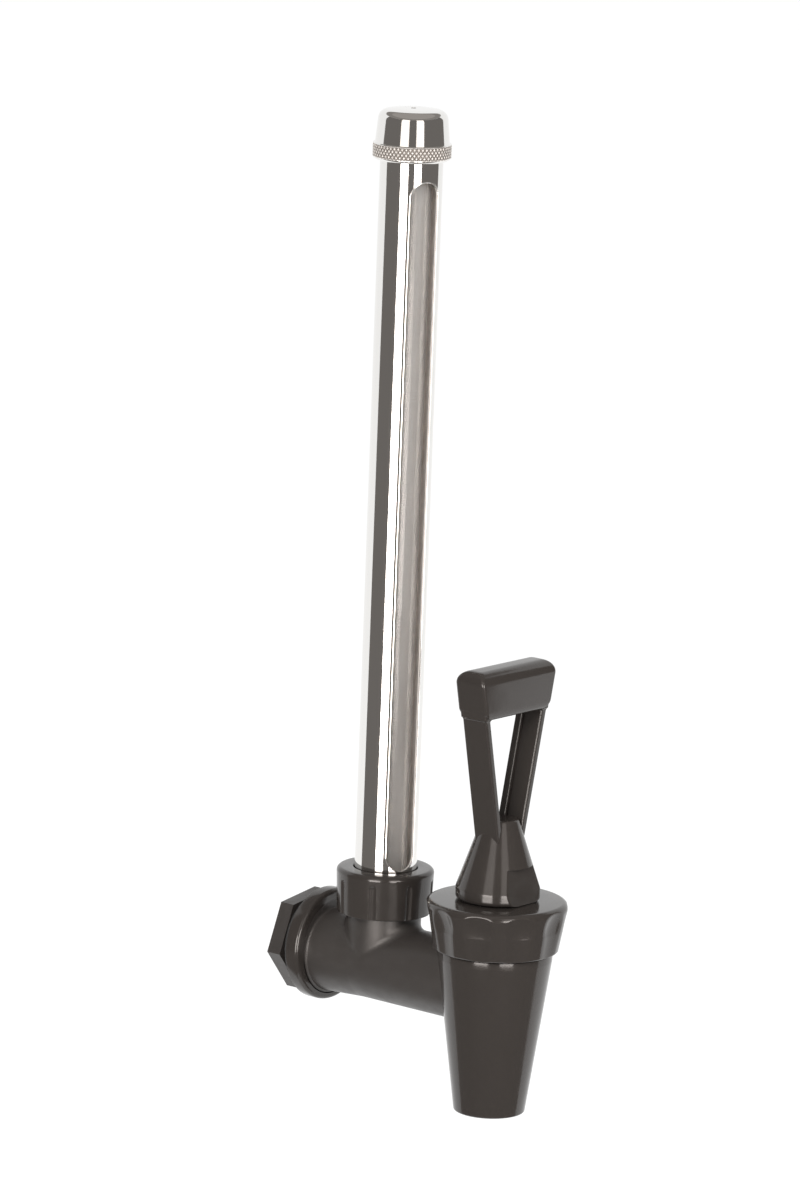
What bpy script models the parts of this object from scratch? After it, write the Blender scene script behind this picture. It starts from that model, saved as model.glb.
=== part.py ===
"""Self-closing spigot with a sight gauge, as fitted to a beverage dispenser.

Metres, +Z up, -Y is the side that the user stands on. The origin is on the shank's axis, where the
flange meets the vessel's wall. The shank runs to +Y, the gauge and the valve stand up along Z.
"""

import math

import bmesh
import bpy
from mathutils import Matrix, Vector

MM = 0.001

# Clearances
SEAT_GAP = 0.3 * MM
RUN_GAP = 0.3 * MM

# Rounding of turned shapes
FINE_STEPS = 56
STEPS = 40
SMALL_STEPS = 28
SHARP_ANGLE = math.radians(32)

# Shank, flange and barrel
FLANGE_LIP = 5.3 * MM
FLANGE_THICKNESS = 4.5 * MM
FLANGE_ROUND = 1.3 * MM
SHANK_STEP = 1.7 * MM
SHANK_LENGTH = 10.4 * MM
SHANK_CHAMFER = 0.8 * MM
SHANK_WALL = 3.0 * MM
BARREL_DROP = 1.5 * MM
BARREL_FILLET = 1.2 * MM

# Wall washer and shank nut
WASHER_THICKNESS = 1.3 * MM
WASHER_INSET = 1.4 * MM
WALL_GAP = 2.2 * MM
NUT_THICKNESS = 5.0 * MM
NUT_ACROSS_FLATS = 27.4 * MM
NUT_TURN = math.radians(8.5)

# Gauge neck, its nut and its lower gasket
NECK_INSET = 0.6 * MM
NECK_LEDGE = 0.5 * MM
NECK_RISE = 3.5 * MM
NECK_FILLET = 3.0 * MM
NUT_TO_FLANGE = 4.6 * MM
NECK_THREAD_LENGTH = 7.1 * MM
NECK_BORE = 4.6 * MM
NECK_POCKET_DEPTH = 3.6 * MM
GAUGE_NUT_WALL = 4.0 * MM
GAUGE_NUT_TAPER = 0.5 * MM
GAUGE_NUT_HEIGHT = 13.8 * MM
GAUGE_NUT_ROUND = 1.4 * MM
GAUGE_FLUTES = 8
GAUGE_FLUTE_RADIUS = 1.5 * MM
GAUGE_FLUTE_DEPTH = 0.55 * MM
GAUGE_FLUTE_TOP = 3.0 * MM
GAUGE_FLUTE_TURN = math.radians(25)
GAUGE_GASKET_THICKNESS = 1.5 * MM

# Sight tube, its slotted shield and the knurled cap
SIGHT_RADIUS = 6.35 * MM
SIGHT_WALL = 1.6 * MM
SHIELD_RADIUS = 9.525 * MM
SHIELD_WALL = 0.9 * MM
SHIELD_COLLAR_LIP = 1.1 * MM
SHIELD_COLLAR_THICKNESS = 1.3 * MM
SHIELD_LENGTH = 223.0 * MM
SLOT_WIDTH = 9.5 * MM
SLOT_SILL = 0.4 * MM
SLOT_HEADROOM = 11.7 * MM
SLOT_TURN = math.radians(-20)
SIGHT_ABOVE_SHIELD = 3.5 * MM
CAP_BAND_RADIUS = 11.8 * MM
CAP_BAND_HEIGHT = 5.1 * MM
CAP_BAND_ROUND = 1.2 * MM
CAP_OVERLAP = 6.0 * MM
CAP_DOME_FOOT_RADIUS = 10.95 * MM
CAP_DOME_SHOULDER_RADIUS = 10.2 * MM
CAP_DOME_HEIGHT = 10.3 * MM
CAP_DOME_ROUND = 2.4 * MM
CAP_CROWN_RISE = 0.5 * MM
CAP_WALL = 1.4 * MM
CAP_LEDGE = 1.2 * MM
CAP_VENT_RADIUS = 0.8 * MM
CAP_GASKET_THICKNESS = 1.9 * MM

# Valve housing and tapered spout
NUT_TO_BONNET = 7.5 * MM
COLLAR_WALL = 3.7 * MM
SPOUT_ROOT_LIP = 0.35 * MM
SPOUT_TIP_RADIUS = 10.85 * MM
SPOUT_DROP = 38.0 * MM
SPOUT_TIP_ROUND = 0.7 * MM
SPOUT_WALL = 2.3 * MM
CHAMBER_ROOM = 4.0 * MM
SEAT_DROP = 9.0 * MM
SEAT_WEB = 2.8 * MM
SEAT_LAND = 2.6 * MM
SEAT_CHAMFER = 1.6 * MM

# Bonnet with its scalloped grip
BONNET_CLEARANCE = 0.4 * MM
BONNET_HEIGHT = 15.2 * MM
BONNET_WALL = 1.8 * MM
BONNET_FLARE = 2.4 * MM
BONNET_RIM_ROUND = 1.9 * MM
BONNET_FOOT_ROUND = 0.9 * MM
BONNET_WEB = 3.3 * MM
BONNET_FLUTES = 10
BONNET_FLUTE_RADIUS = 16.5 * MM
BONNET_FLUTE_DEPTH = 0.8 * MM
BONNET_FLUTE_TOP = 3.0 * MM
BONNET_FLUTE_TURN = math.radians(-17)
GUIDE_LENGTH = 5.0 * MM
GUIDE_WALL = 1.0 * MM

# Seat cup
BRIM_INSET = 0.7 * MM
BRIM_THICKNESS = 1.2 * MM
CUP_WALL = 1.4 * MM
CUP_FLOOR_RISE = 11.0 * MM
CUP_TIP_INSET = 1.8 * MM
CUP_TIP_DROP = 2.6 * MM
BUTTON_SOCKET_NECK = 2.5 * MM

# Stem and its T-head
STEM_RADIUS = 3.2 * MM
STEM_NECK_STEP = 0.5 * MM
BUTTON_LIP = 1.0 * MM
BUTTON_HEIGHT = 3.4 * MM
SHOULDER_INSET = 0.8 * MM
SHOULDER_THICKNESS = 1.7 * MM
PIN_RADIUS = 2.0 * MM
PIN_HALF_LENGTH = 5.8 * MM

# Spring
WIRE_RADIUS = 0.55 * MM
COIL_CLEARANCE = 0.35 * MM
COIL_SEAT = 1.25 * MM
COIL_TURNS = 6
COIL_STEPS = 14
WIRE_SIDES = 6
END_TURNS = 0.75

# Handle: cone base, two splayed legs and a cross bar
PIN_RISE = 5.5 * MM
TIP_ANGLE = math.radians(28)
CONE_RADIUS = 12.75 * MM
CONE_SKIRT = 3.6 * MM
CONE_FOOT_ROUND = 1.2 * MM
CONE_SLOPE = 0.343
CONE_HEIGHT = 24.8 * MM
CONE_TOP_ROUND = 0.7 * MM
FACET_REACH = 10.9 * MM
FACET_HEIGHT = 10.9 * MM
FACET_SLOPE = 0.234
LEG_INNER_REACH = 5.3 * MM
LEG_LEAN = 0.21
LEG_THICKNESS = 2.4 * MM
LEG_DEPTH = 9.0 * MM
LEG_ROOT = 13.5 * MM
RIB_HEIGHT = 1.0 * MM
RIB_WIDTH = 2.5 * MM
BAR_RISE = 57.3 * MM
BAR_HEIGHT = 14.5 * MM
BAR_OVERHANG = 0.5 * MM
BAR_DEPTH = 11.2 * MM
BAR_TOP_ROUND = 4.0 * MM
BAR_FOOT_ROUND = 2.7 * MM
BAR_EDGE_ROUND = 1.1 * MM
KEYWAY_GAP = 0.4 * MM
POCKET_LEDGE = 1.2 * MM
CAVITY_RADIUS = 6.6 * MM
CAVITY_SHOULDER_RADIUS = 6.2 * MM
CAVITY_TOP_RADIUS = 3.8 * MM
CAVITY_RISE = 9.6 * MM

# Radii and reaches that follow from the sizes above
SHIELD_COLLAR_RADIUS = SHIELD_RADIUS + SHIELD_COLLAR_LIP
NECK_THREAD_RADIUS = SHIELD_COLLAR_RADIUS + RUN_GAP
NECK_RADIUS = NECK_THREAD_RADIUS + NECK_LEDGE
BARREL_RADIUS = NECK_RADIUS + NECK_INSET
SHANK_RADIUS = BARREL_RADIUS - SHANK_STEP
INLET_RADIUS = SHANK_RADIUS - SHANK_WALL
FLANGE_RADIUS = BARREL_RADIUS + FLANGE_LIP
WASHER_RADIUS = FLANGE_RADIUS - WASHER_INSET
GAUGE_NUT_RADIUS = NECK_THREAD_RADIUS + GAUGE_NUT_WALL
GAUGE_NUT_FOOT_RADIUS = GAUGE_NUT_RADIUS - GAUGE_NUT_TAPER
STEM_BORE = STEM_RADIUS + RUN_GAP
STEM_NECK_RADIUS = STEM_RADIUS - STEM_NECK_STEP
BUTTON_RADIUS = STEM_RADIUS + BUTTON_LIP
GUIDE_RADIUS = STEM_BORE + GUIDE_WALL
COIL_RADIUS = GUIDE_RADIUS + COIL_CLEARANCE + WIRE_RADIUS
SHOULDER_RADIUS = COIL_RADIUS + WIRE_RADIUS + COIL_SEAT
CUP_RADIUS = SHOULDER_RADIUS + SHOULDER_INSET + CUP_WALL
SEAT_HOLE = CUP_RADIUS - SEAT_LAND - SEAT_CHAMFER
CUP_TIP_RADIUS = SEAT_HOLE - CUP_TIP_INSET
CHAMBER_MOUTH_RADIUS = CUP_RADIUS + CHAMBER_ROOM
COLLAR_RADIUS = CHAMBER_MOUTH_RADIUS + COLLAR_WALL
BRIM_RADIUS = COLLAR_RADIUS - BRIM_INSET
SPOUT_ROOT_RADIUS = COLLAR_RADIUS + SPOUT_ROOT_LIP
BONNET_FOOT_RADIUS = COLLAR_RADIUS + RUN_GAP + BONNET_WALL
BONNET_RIM_RADIUS = BONNET_FOOT_RADIUS + BONNET_FLARE
GAUGE_REACH = FLANGE_THICKNESS + NUT_TO_FLANGE + GAUGE_NUT_RADIUS
VALVE_REACH = GAUGE_REACH + GAUGE_NUT_RADIUS + NUT_TO_BONNET + BONNET_RIM_RADIUS

# Levels that follow from the sizes above
WASHER_FACE = SEAT_GAP
NUT_FACE = WASHER_FACE + WASHER_THICKNESS + WALL_GAP
BARREL_AXIS = -BARREL_DROP
BARREL_TOP = BARREL_AXIS + BARREL_RADIUS
NECK_SHOULDER = BARREL_TOP + NECK_RISE
NECK_TOP = NECK_SHOULDER + NECK_THREAD_LENGTH
GAUGE_NUT_FOOT = NECK_SHOULDER + SEAT_GAP
GAUGE_NUT_TOP = GAUGE_NUT_FOOT + GAUGE_NUT_HEIGHT
GAUGE_GASKET_FOOT = NECK_TOP + SEAT_GAP
COLLAR_FOOT = GAUGE_GASKET_FOOT + GAUGE_GASKET_THICKNESS + SEAT_GAP
GAUGE_NUT_CEILING = COLLAR_FOOT + SHIELD_COLLAR_THICKNESS + SEAT_GAP
POCKET_FLOOR = NECK_TOP - NECK_POCKET_DEPTH
SIGHT_FOOT = POCKET_FLOOR + SEAT_GAP
SHIELD_TOP = GAUGE_NUT_TOP + SHIELD_LENGTH
SIGHT_TOP = SHIELD_TOP + SIGHT_ABOVE_SHIELD
SLOT_FOOT = GAUGE_NUT_TOP + SLOT_SILL
CAP_FOOT = SHIELD_TOP - CAP_OVERLAP
CAP_GASKET_FOOT = SHIELD_TOP + SEAT_GAP
CAP_SHOULDER = CAP_GASKET_FOOT + CAP_GASKET_THICKNESS + SEAT_GAP
BONNET_FOOT = BARREL_TOP + BONNET_CLEARANCE
BONNET_TOP = BONNET_FOOT + BONNET_HEIGHT
BONNET_CEILING = BONNET_TOP - BONNET_WEB
BRIM_TOP = BONNET_CEILING - SEAT_GAP
BRIM_FOOT = BRIM_TOP - BRIM_THICKNESS
COLLAR_TOP = BRIM_FOOT - SEAT_GAP
SPOUT_ROOT = BARREL_TOP
SPOUT_TIP = BARREL_AXIS - SPOUT_DROP
SEAT_LEVEL = BARREL_AXIS - SEAT_DROP
CUP_FLOOR = SEAT_LEVEL + CUP_FLOOR_RISE
SOCKET_ROOF = CUP_FLOOR - BUTTON_SOCKET_NECK
BUTTON_TOP = SOCKET_ROOF - RUN_GAP
BUTTON_FOOT = BUTTON_TOP - BUTTON_HEIGHT
SHOULDER_FOOT = CUP_FLOOR + SEAT_GAP
SHOULDER_TOP = SHOULDER_FOOT + SHOULDER_THICKNESS
HANDLE_FOOT = BONNET_TOP + SEAT_GAP
PIN_LEVEL = HANDLE_FOOT + PIN_RISE
SPRING_FOOT = SHOULDER_TOP + SEAT_GAP
SPRING_TOP = BONNET_CEILING - SEAT_GAP
SIGHT_BORE = SIGHT_RADIUS + RUN_GAP
SHIELD_BORE = SHIELD_RADIUS + RUN_GAP


def clear_scene():
    for thing in list(bpy.data.objects):
        bpy.data.objects.remove(thing, do_unlink=True)


def finish(name, colour, roughness, metallic=0.0, transmission=0.0):
    material = bpy.data.materials.new(name)
    material.use_nodes = True
    shader = material.node_tree.nodes["Principled BSDF"]
    shader.inputs["Base Color"].default_value = (*colour, 1.0)
    shader.inputs["Roughness"].default_value = roughness
    shader.inputs["Metallic"].default_value = metallic
    shader.inputs["Transmission Weight"].default_value = transmission
    return material


def arc(radius, height, size, start, end, steps=4):
    """Points of a profile's rounded corner, around (radius, height), from start to end degrees."""
    points = []
    for i in range(steps + 1):
        turn = math.radians(start + (end - start) * i / steps)
        points.append((radius + size * math.cos(turn), height + size * math.sin(turn)))
    return points


def to_mesh(bm, name):
    bmesh.ops.recalc_face_normals(bm, faces=bm.faces)
    mesh = bpy.data.meshes.new(name)
    bm.to_mesh(mesh)
    bm.free()
    mesh.shade_smooth()
    mesh.set_sharp_from_angle(angle=SHARP_ANGLE)
    return mesh


def turned(name, profile, steps=STEPS):
    """A solid of revolution about Z. A profile that begins on the axis also ends on it."""
    bm = bmesh.new()
    corners = [bm.verts.new((radius, 0.0, height)) for radius, height in profile]
    pairs = list(zip(corners, corners[1:]))
    if profile[0][0] > 0.0:
        pairs.append((corners[-1], corners[0]))
    edges = [bm.edges.new(pair) for pair in pairs]
    bmesh.ops.spin(
        bm,
        geom=corners + edges,
        cent=(0.0, 0.0, 0.0),
        axis=(0.0, 0.0, 1.0),
        angle=math.tau,
        steps=steps,
        use_merge=True,
    )
    bmesh.ops.remove_doubles(bm, verts=bm.verts, dist=0.001 * MM)
    return to_mesh(bm, name)


def prism(name, outline, depth_start, depth_end):
    """An outline in the X-Z plane, extruded along Y."""
    bm = bmesh.new()
    face = bm.faces.new([bm.verts.new((x, depth_start, z)) for x, z in outline])
    grown = bmesh.ops.extrude_face_region(bm, geom=[face])["geom"]
    moved = [item for item in grown if isinstance(item, bmesh.types.BMVert)]
    bmesh.ops.translate(bm, verts=moved, vec=(0.0, depth_end - depth_start, 0.0))
    return to_mesh(bm, name)


def place(name, mesh, material, parent=None, height=0.0, rotation=(0.0, 0.0, 0.0)):
    thing = bpy.data.objects.new(name, mesh)
    bpy.context.collection.objects.link(thing)
    mesh.materials.append(material)
    thing.parent = parent
    thing.location.z = height
    thing.rotation_euler = rotation
    return thing


def axis_marker(name, location):
    marker = bpy.data.objects.new(name, None)
    bpy.context.collection.objects.link(marker)
    marker.location = location
    return marker


def shape(target, name, mesh, operation, parent=None, height=0.0, rotation=(0.0, 0.0, 0.0)):
    """Joins a hidden shape to target, or cuts it away."""
    tool = bpy.data.objects.new(name, mesh)
    bpy.context.collection.objects.link(tool)
    tool.parent = parent
    tool.location.z = height
    tool.rotation_euler = rotation
    tool.hide_render = True
    tool.display_type = "WIRE"
    modifier = target.modifiers.new(name, "BOOLEAN")
    modifier.operation = operation
    modifier.solver = "EXACT"
    modifier.object = tool
    return tool


def ring_strip(bm, sections, closed):
    """Skins a row of sections, each a closed loop of points, and caps the ends if the row is open."""
    rings = [[bm.verts.new(point) for point in section] for section in sections]
    following = rings[1:] + rings[:1] if closed else rings[1:]
    for ring, after in zip(rings, following):
        for i in range(len(ring)):
            j = (i + 1) % len(ring)
            bm.faces.new((ring[i], ring[j], after[j], after[i]))
    if not closed:
        bm.faces.new(rings[0])
        bm.faces.new(list(reversed(rings[-1])))


def saddle_fillet():
    """The rounded foot of the neck on the barrel, as left by a ball that rolls round between them."""
    ball = NECK_FILLET
    sections = []
    for i in range(STEPS):
        turn = math.tau * i / STEPS
        outward = Vector((math.cos(turn), math.sin(turn), 0.0))
        centre = outward * (NECK_RADIUS + ball)
        rise = math.sqrt((BARREL_RADIUS + ball) ** 2 - centre.x**2)
        centre.z = BARREL_AXIS + rise
        to_neck = -outward
        to_barrel = Vector((-centre.x, 0.0, -rise)).normalized()
        opening = to_neck.angle(to_barrel)
        section = []
        for k in range(5):
            share = k / 4
            along = to_neck * math.sin((1 - share) * opening) + to_barrel * math.sin(share * opening)
            section.append(centre + along * ball / math.sin(opening))
        section[0] = section[0] - outward * 0.1 * ball
        section[-1] = section[-1] + to_barrel * 0.1 * ball
        section.append(section[-1] - outward * ball + to_barrel * 0.5 * ball)
        sections.append(section)
    bm = bmesh.new()
    ring_strip(bm, sections, closed=True)
    return to_mesh(bm, "saddle_fillet")


def spout_radius(height):
    """The tapered spout's outer radius at a height."""
    share = (SPOUT_ROOT - height) / (SPOUT_ROOT - SPOUT_TIP)
    return SPOUT_ROOT_RADIUS + (SPOUT_TIP_RADIUS - SPOUT_ROOT_RADIUS) * share


def build_body(plastic, gauge_axis, valve_axis):
    tip = SPOUT_TIP
    body = place(
        "faucet_body",
        turned(
            "faucet_body",
            [(0.0, tip), *arc(SPOUT_TIP_RADIUS - SPOUT_TIP_ROUND, tip + SPOUT_TIP_ROUND, SPOUT_TIP_ROUND, -90, 0, 3)]
            + [(SPOUT_ROOT_RADIUS, SPOUT_ROOT), (COLLAR_RADIUS, SPOUT_ROOT)]
            + [(COLLAR_RADIUS, COLLAR_TOP - SEAT_GAP), (COLLAR_RADIUS - SEAT_GAP, COLLAR_TOP), (0.0, COLLAR_TOP)],
        ),
        plastic,
        valve_axis,
    )
    along_y = (-math.pi / 2, 0.0, 0.0)
    front = -FLANGE_THICKNESS
    shank = turned(
        "shank",
        [(0.0, SHANK_LENGTH), (SHANK_RADIUS - SHANK_CHAMFER, SHANK_LENGTH)]
        + [(SHANK_RADIUS, SHANK_LENGTH - SHANK_CHAMFER), (SHANK_RADIUS, 0.0), (FLANGE_RADIUS, 0.0)]
        + arc(FLANGE_RADIUS - FLANGE_ROUND, front + FLANGE_ROUND, FLANGE_ROUND, 0, -90)
        + [(0.0, front)],
    )
    shape(body, "shank", shank, "UNION", rotation=along_y)
    barrel = turned(
        "barrel",
        [(0.0, front + BARREL_FILLET), (BARREL_RADIUS + BARREL_FILLET, front + BARREL_FILLET)]
        + arc(BARREL_RADIUS + BARREL_FILLET, front - BARREL_FILLET, BARREL_FILLET, 90, 180, 3)
        + [(BARREL_RADIUS, -VALVE_REACH), (0.0, -VALVE_REACH)],
    )
    shape(body, "barrel", barrel, "UNION", height=BARREL_AXIS, rotation=along_y)
    neck = turned(
        "neck",
        [(0.0, BARREL_AXIS), (NECK_RADIUS, BARREL_AXIS)]
        + [(NECK_RADIUS, NECK_SHOULDER), (NECK_THREAD_RADIUS, NECK_SHOULDER)]
        + [(NECK_THREAD_RADIUS, NECK_TOP - SEAT_GAP), (NECK_THREAD_RADIUS - SEAT_GAP, NECK_TOP), (0.0, NECK_TOP)],
    )
    shape(body, "neck", neck, "UNION", gauge_axis)
    shape(body, "neck_fillet", saddle_fillet(), "UNION", gauge_axis)

    seat = SEAT_LEVEL
    web_foot = seat - SEAT_WEB
    chamber = turned(
        "chamber",
        [(0.0, COLLAR_TOP + BRIM_THICKNESS), (CHAMBER_MOUTH_RADIUS, COLLAR_TOP + BRIM_THICKNESS)]
        + [(CHAMBER_MOUTH_RADIUS, COLLAR_TOP), (spout_radius(seat) - SPOUT_WALL, seat)]
        + [(SEAT_HOLE + SEAT_CHAMFER, seat), (SEAT_HOLE, seat - SEAT_CHAMFER), (SEAT_HOLE, web_foot)]
        + [(spout_radius(web_foot) - SPOUT_WALL, web_foot), (SPOUT_TIP_RADIUS - SPOUT_WALL, tip)]
        + [(SPOUT_TIP_RADIUS - SPOUT_WALL, tip - SPOUT_WALL), (0.0, tip - SPOUT_WALL)],
    )
    shape(body, "chamber", chamber, "DIFFERENCE", valve_axis)
    inlet_start = SHANK_LENGTH + SHANK_CHAMFER
    inlet_end = CHAMBER_MOUTH_RADIUS / 2 - VALVE_REACH
    inlet = turned(
        "inlet",
        [(0.0, inlet_start), (INLET_RADIUS, inlet_start), (INLET_RADIUS, inlet_end), (0.0, inlet_end)],
        SMALL_STEPS,
    )
    shape(body, "inlet", inlet, "DIFFERENCE", rotation=along_y)
    riser = turned(
        "riser",
        [(0.0, 0.0), (NECK_BORE, 0.0), (NECK_BORE, POCKET_FLOOR), (SIGHT_BORE, POCKET_FLOOR)]
        + [(SIGHT_BORE, NECK_TOP + SIGHT_WALL), (0.0, NECK_TOP + SIGHT_WALL)],
        SMALL_STEPS,
    )
    shape(body, "riser", riser, "DIFFERENCE", gauge_axis)
    return body


def build_shank_fixing(plastic, rubber):
    along_y = (-math.pi / 2, 0.0, 0.0)
    bore = SHANK_RADIUS + RUN_GAP
    washer_back = WASHER_FACE + WASHER_THICKNESS
    ring = [(bore, WASHER_FACE), (WASHER_RADIUS, WASHER_FACE), (WASHER_RADIUS, washer_back), (bore, washer_back)]
    place("wall_washer", turned("wall_washer", ring, SMALL_STEPS), rubber, rotation=along_y)

    nut_back = NUT_FACE + NUT_THICKNESS
    corner = NUT_ACROSS_FLATS / 2 / math.cos(math.pi / 6)
    hexagon = []
    for i in range(6):
        turn = NUT_TURN + math.tau * i / 6
        hexagon.append((corner * math.cos(turn), corner * math.sin(turn)))
    nut = place("shank_nut", prism("shank_nut", hexagon, NUT_FACE, nut_back), plastic)
    thread = turned(
        "nut_bore",
        [(0.0, washer_back), (bore, washer_back), (bore, nut_back + SEAT_GAP), (0.0, nut_back + SEAT_GAP)],
        SMALL_STEPS,
    )
    shape(nut, "nut_bore", thread, "DIFFERENCE", rotation=along_y)


def flute_cutters(name, count, turn, radius, depth, rim_radius, foot_radius, rim_level, foot_level, top_gap):
    """Round-ended grooves, one body each, that run down a tapered grip and out at its foot."""
    lean = math.atan2(rim_radius - foot_radius, rim_level - foot_level)
    rise = math.sqrt(2 * radius * depth - depth**2)
    level = rim_level - top_gap - rise
    surface = rim_radius - (rim_level - level) * math.tan(lean)
    length = level - foot_level + radius
    profile = [(0.0, -length), (radius, -length), *arc(0.0, 0.0, radius, 0, 90, 6)]
    profile[-1] = (0.0, radius)
    steps = 32 if radius > 5 * MM else 12
    single = turned(name, profile, steps)
    bm = bmesh.new()
    for i in range(count):
        before = len(bm.verts)
        bm.from_mesh(single)
        bm.verts.ensure_lookup_table()
        fresh = bm.verts[before:]
        bmesh.ops.rotate(bm, verts=fresh, cent=(0, 0, 0), matrix=Matrix.Rotation(lean, 3, "Y"))
        bmesh.ops.translate(bm, verts=fresh, vec=(surface - depth + radius, 0.0, level))
        around = Matrix.Rotation(turn + math.tau * i / count, 3, "Z")
        bmesh.ops.rotate(bm, verts=fresh, cent=(0, 0, 0), matrix=around)
    bpy.data.meshes.remove(single)
    return to_mesh(bm, name)


def build_gauge(plastic, rubber, chrome, clear, gauge_axis):
    thread_bore = NECK_THREAD_RADIUS + RUN_GAP
    nut_round = GAUGE_NUT_ROUND
    nut = place(
        "gauge_nut",
        turned(
            "gauge_nut",
            [(thread_bore, GAUGE_NUT_FOOT), (GAUGE_NUT_FOOT_RADIUS - SEAT_GAP, GAUGE_NUT_FOOT)]
            + [(GAUGE_NUT_FOOT_RADIUS, GAUGE_NUT_FOOT + SEAT_GAP)]
            + arc(GAUGE_NUT_RADIUS - nut_round, GAUGE_NUT_TOP - nut_round, nut_round, 0, 90)
            + [(SHIELD_BORE, GAUGE_NUT_TOP), (SHIELD_BORE, GAUGE_NUT_CEILING), (thread_bore, GAUGE_NUT_CEILING)],
        ),
        plastic,
        gauge_axis,
    )
    flutes = flute_cutters(
        "gauge_nut_flutes",
        GAUGE_FLUTES,
        GAUGE_FLUTE_TURN,
        GAUGE_FLUTE_RADIUS,
        GAUGE_FLUTE_DEPTH,
        GAUGE_NUT_RADIUS,
        GAUGE_NUT_FOOT_RADIUS,
        GAUGE_NUT_TOP,
        GAUGE_NUT_FOOT,
        GAUGE_FLUTE_TOP,
    )
    shape(nut, "gauge_nut_flutes", flutes, "DIFFERENCE", gauge_axis)

    gasket_top = GAUGE_GASKET_FOOT + GAUGE_GASKET_THICKNESS
    gasket = [(SIGHT_BORE, GAUGE_GASKET_FOOT), (SHIELD_COLLAR_RADIUS, GAUGE_GASKET_FOOT)]
    gasket += [(SHIELD_COLLAR_RADIUS, gasket_top), (SIGHT_BORE, gasket_top)]
    place("gauge_gasket", turned("gauge_gasket", gasket, SMALL_STEPS), rubber, gauge_axis)

    shield_bore = SHIELD_RADIUS - SHIELD_WALL
    collar_top = COLLAR_FOOT + SHIELD_COLLAR_THICKNESS
    shield = place(
        "gauge_shield",
        turned(
            "gauge_shield",
            [(shield_bore, COLLAR_FOOT), (SHIELD_COLLAR_RADIUS, COLLAR_FOOT), (SHIELD_COLLAR_RADIUS, collar_top)]
            + [(SHIELD_RADIUS, collar_top), (SHIELD_RADIUS, SHIELD_TOP), (shield_bore, SHIELD_TOP)],
        ),
        chrome,
        gauge_axis,
    )
    half = SLOT_WIDTH / 2
    slot_top = SHIELD_TOP - SLOT_HEADROOM
    slot = arc(0.0, SLOT_FOOT + half, half, 180, 360, 8) + arc(0.0, slot_top - half, half, 0, 180, 8)
    cutter = prism("sight_slot", slot, -SHIELD_COLLAR_RADIUS, -shield_bore / 2)
    shape(shield, "sight_slot", cutter, "DIFFERENCE", gauge_axis, rotation=(0.0, 0.0, SLOT_TURN))

    inner = SIGHT_RADIUS - SIGHT_WALL
    wall = [(inner, SIGHT_FOOT), (SIGHT_RADIUS, SIGHT_FOOT), (SIGHT_RADIUS, SIGHT_TOP), (inner, SIGHT_TOP)]
    place("sight_tube", turned("sight_tube", wall, SMALL_STEPS), clear, gauge_axis)

    cap_gasket_top = CAP_GASKET_THICKNESS
    ring = [(SIGHT_BORE, 0.0), (SHIELD_RADIUS, 0.0), (SHIELD_RADIUS, cap_gasket_top), (SIGHT_BORE, cap_gasket_top)]
    place("cap_gasket", turned("cap_gasket", ring, SMALL_STEPS), rubber, gauge_axis, CAP_GASKET_FOOT)

    band_top = CAP_BAND_HEIGHT
    crown = band_top + CAP_DOME_HEIGHT
    corner_level = crown - CAP_CROWN_RISE - CAP_DOME_ROUND
    corner_radius = CAP_DOME_SHOULDER_RADIUS - CAP_DOME_ROUND
    taper = math.degrees(math.atan2(CAP_DOME_FOOT_RADIUS - CAP_DOME_SHOULDER_RADIUS, CAP_DOME_HEIGHT))
    crown_tilt = math.degrees(math.atan2(2 * CAP_CROWN_RISE, corner_radius))
    shoulder = CAP_SHOULDER - CAP_FOOT
    bore = SHIELD_RADIUS - CAP_LEDGE
    place(
        "gauge_cap",
        turned(
            "gauge_cap",
            [(SHIELD_BORE, 0.0)]
            + arc(CAP_BAND_RADIUS - CAP_BAND_ROUND, CAP_BAND_ROUND, CAP_BAND_ROUND, -90, 0)
            + [(CAP_BAND_RADIUS, band_top), (CAP_DOME_FOOT_RADIUS, band_top)]
            + arc(corner_radius, corner_level, CAP_DOME_ROUND, taper, 90 - crown_tilt, 4)
            + [(corner_radius * 0.6, crown - CAP_CROWN_RISE * 0.3), (CAP_VENT_RADIUS, crown)]
            + [(CAP_VENT_RADIUS, crown - CAP_WALL), (bore - CAP_DOME_ROUND, crown - CAP_CROWN_RISE - CAP_WALL)]
            + [(bore, corner_level - CAP_WALL / 2), (bore, shoulder), (SHIELD_BORE, shoulder)],
        ),
        chrome,
        gauge_axis,
        CAP_FOOT,
    )


def build_bonnet(plastic, valve_axis):
    thread_bore = COLLAR_RADIUS + RUN_GAP
    guide_foot = BONNET_CEILING - GUIDE_LENGTH
    foot = BONNET_FOOT_ROUND
    rim = BONNET_RIM_ROUND
    flare = math.degrees(math.atan2(BONNET_FLARE, BONNET_HEIGHT))
    bonnet = place(
        "bonnet",
        turned(
            "bonnet",
            [(thread_bore, BONNET_FOOT)]
            + arc(BONNET_FOOT_RADIUS - foot, BONNET_FOOT + foot, foot, -90, 0, 3)
            + arc(BONNET_RIM_RADIUS - rim, BONNET_TOP - rim, rim, -flare, 90, 5)
            + [(STEM_BORE, BONNET_TOP), (STEM_BORE, guide_foot), (GUIDE_RADIUS, guide_foot)]
            + [(GUIDE_RADIUS, BONNET_CEILING), (thread_bore, BONNET_CEILING)],
            FINE_STEPS,
        ),
        plastic,
        valve_axis,
    )
    flutes = flute_cutters(
        "bonnet_flutes",
        BONNET_FLUTES,
        BONNET_FLUTE_TURN,
        BONNET_FLUTE_RADIUS,
        BONNET_FLUTE_DEPTH,
        BONNET_RIM_RADIUS,
        BONNET_FOOT_RADIUS,
        BONNET_TOP,
        BONNET_FOOT,
        BONNET_FLUTE_TOP,
    )
    shape(bonnet, "bonnet_flutes", flutes, "DIFFERENCE", valve_axis)


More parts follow.
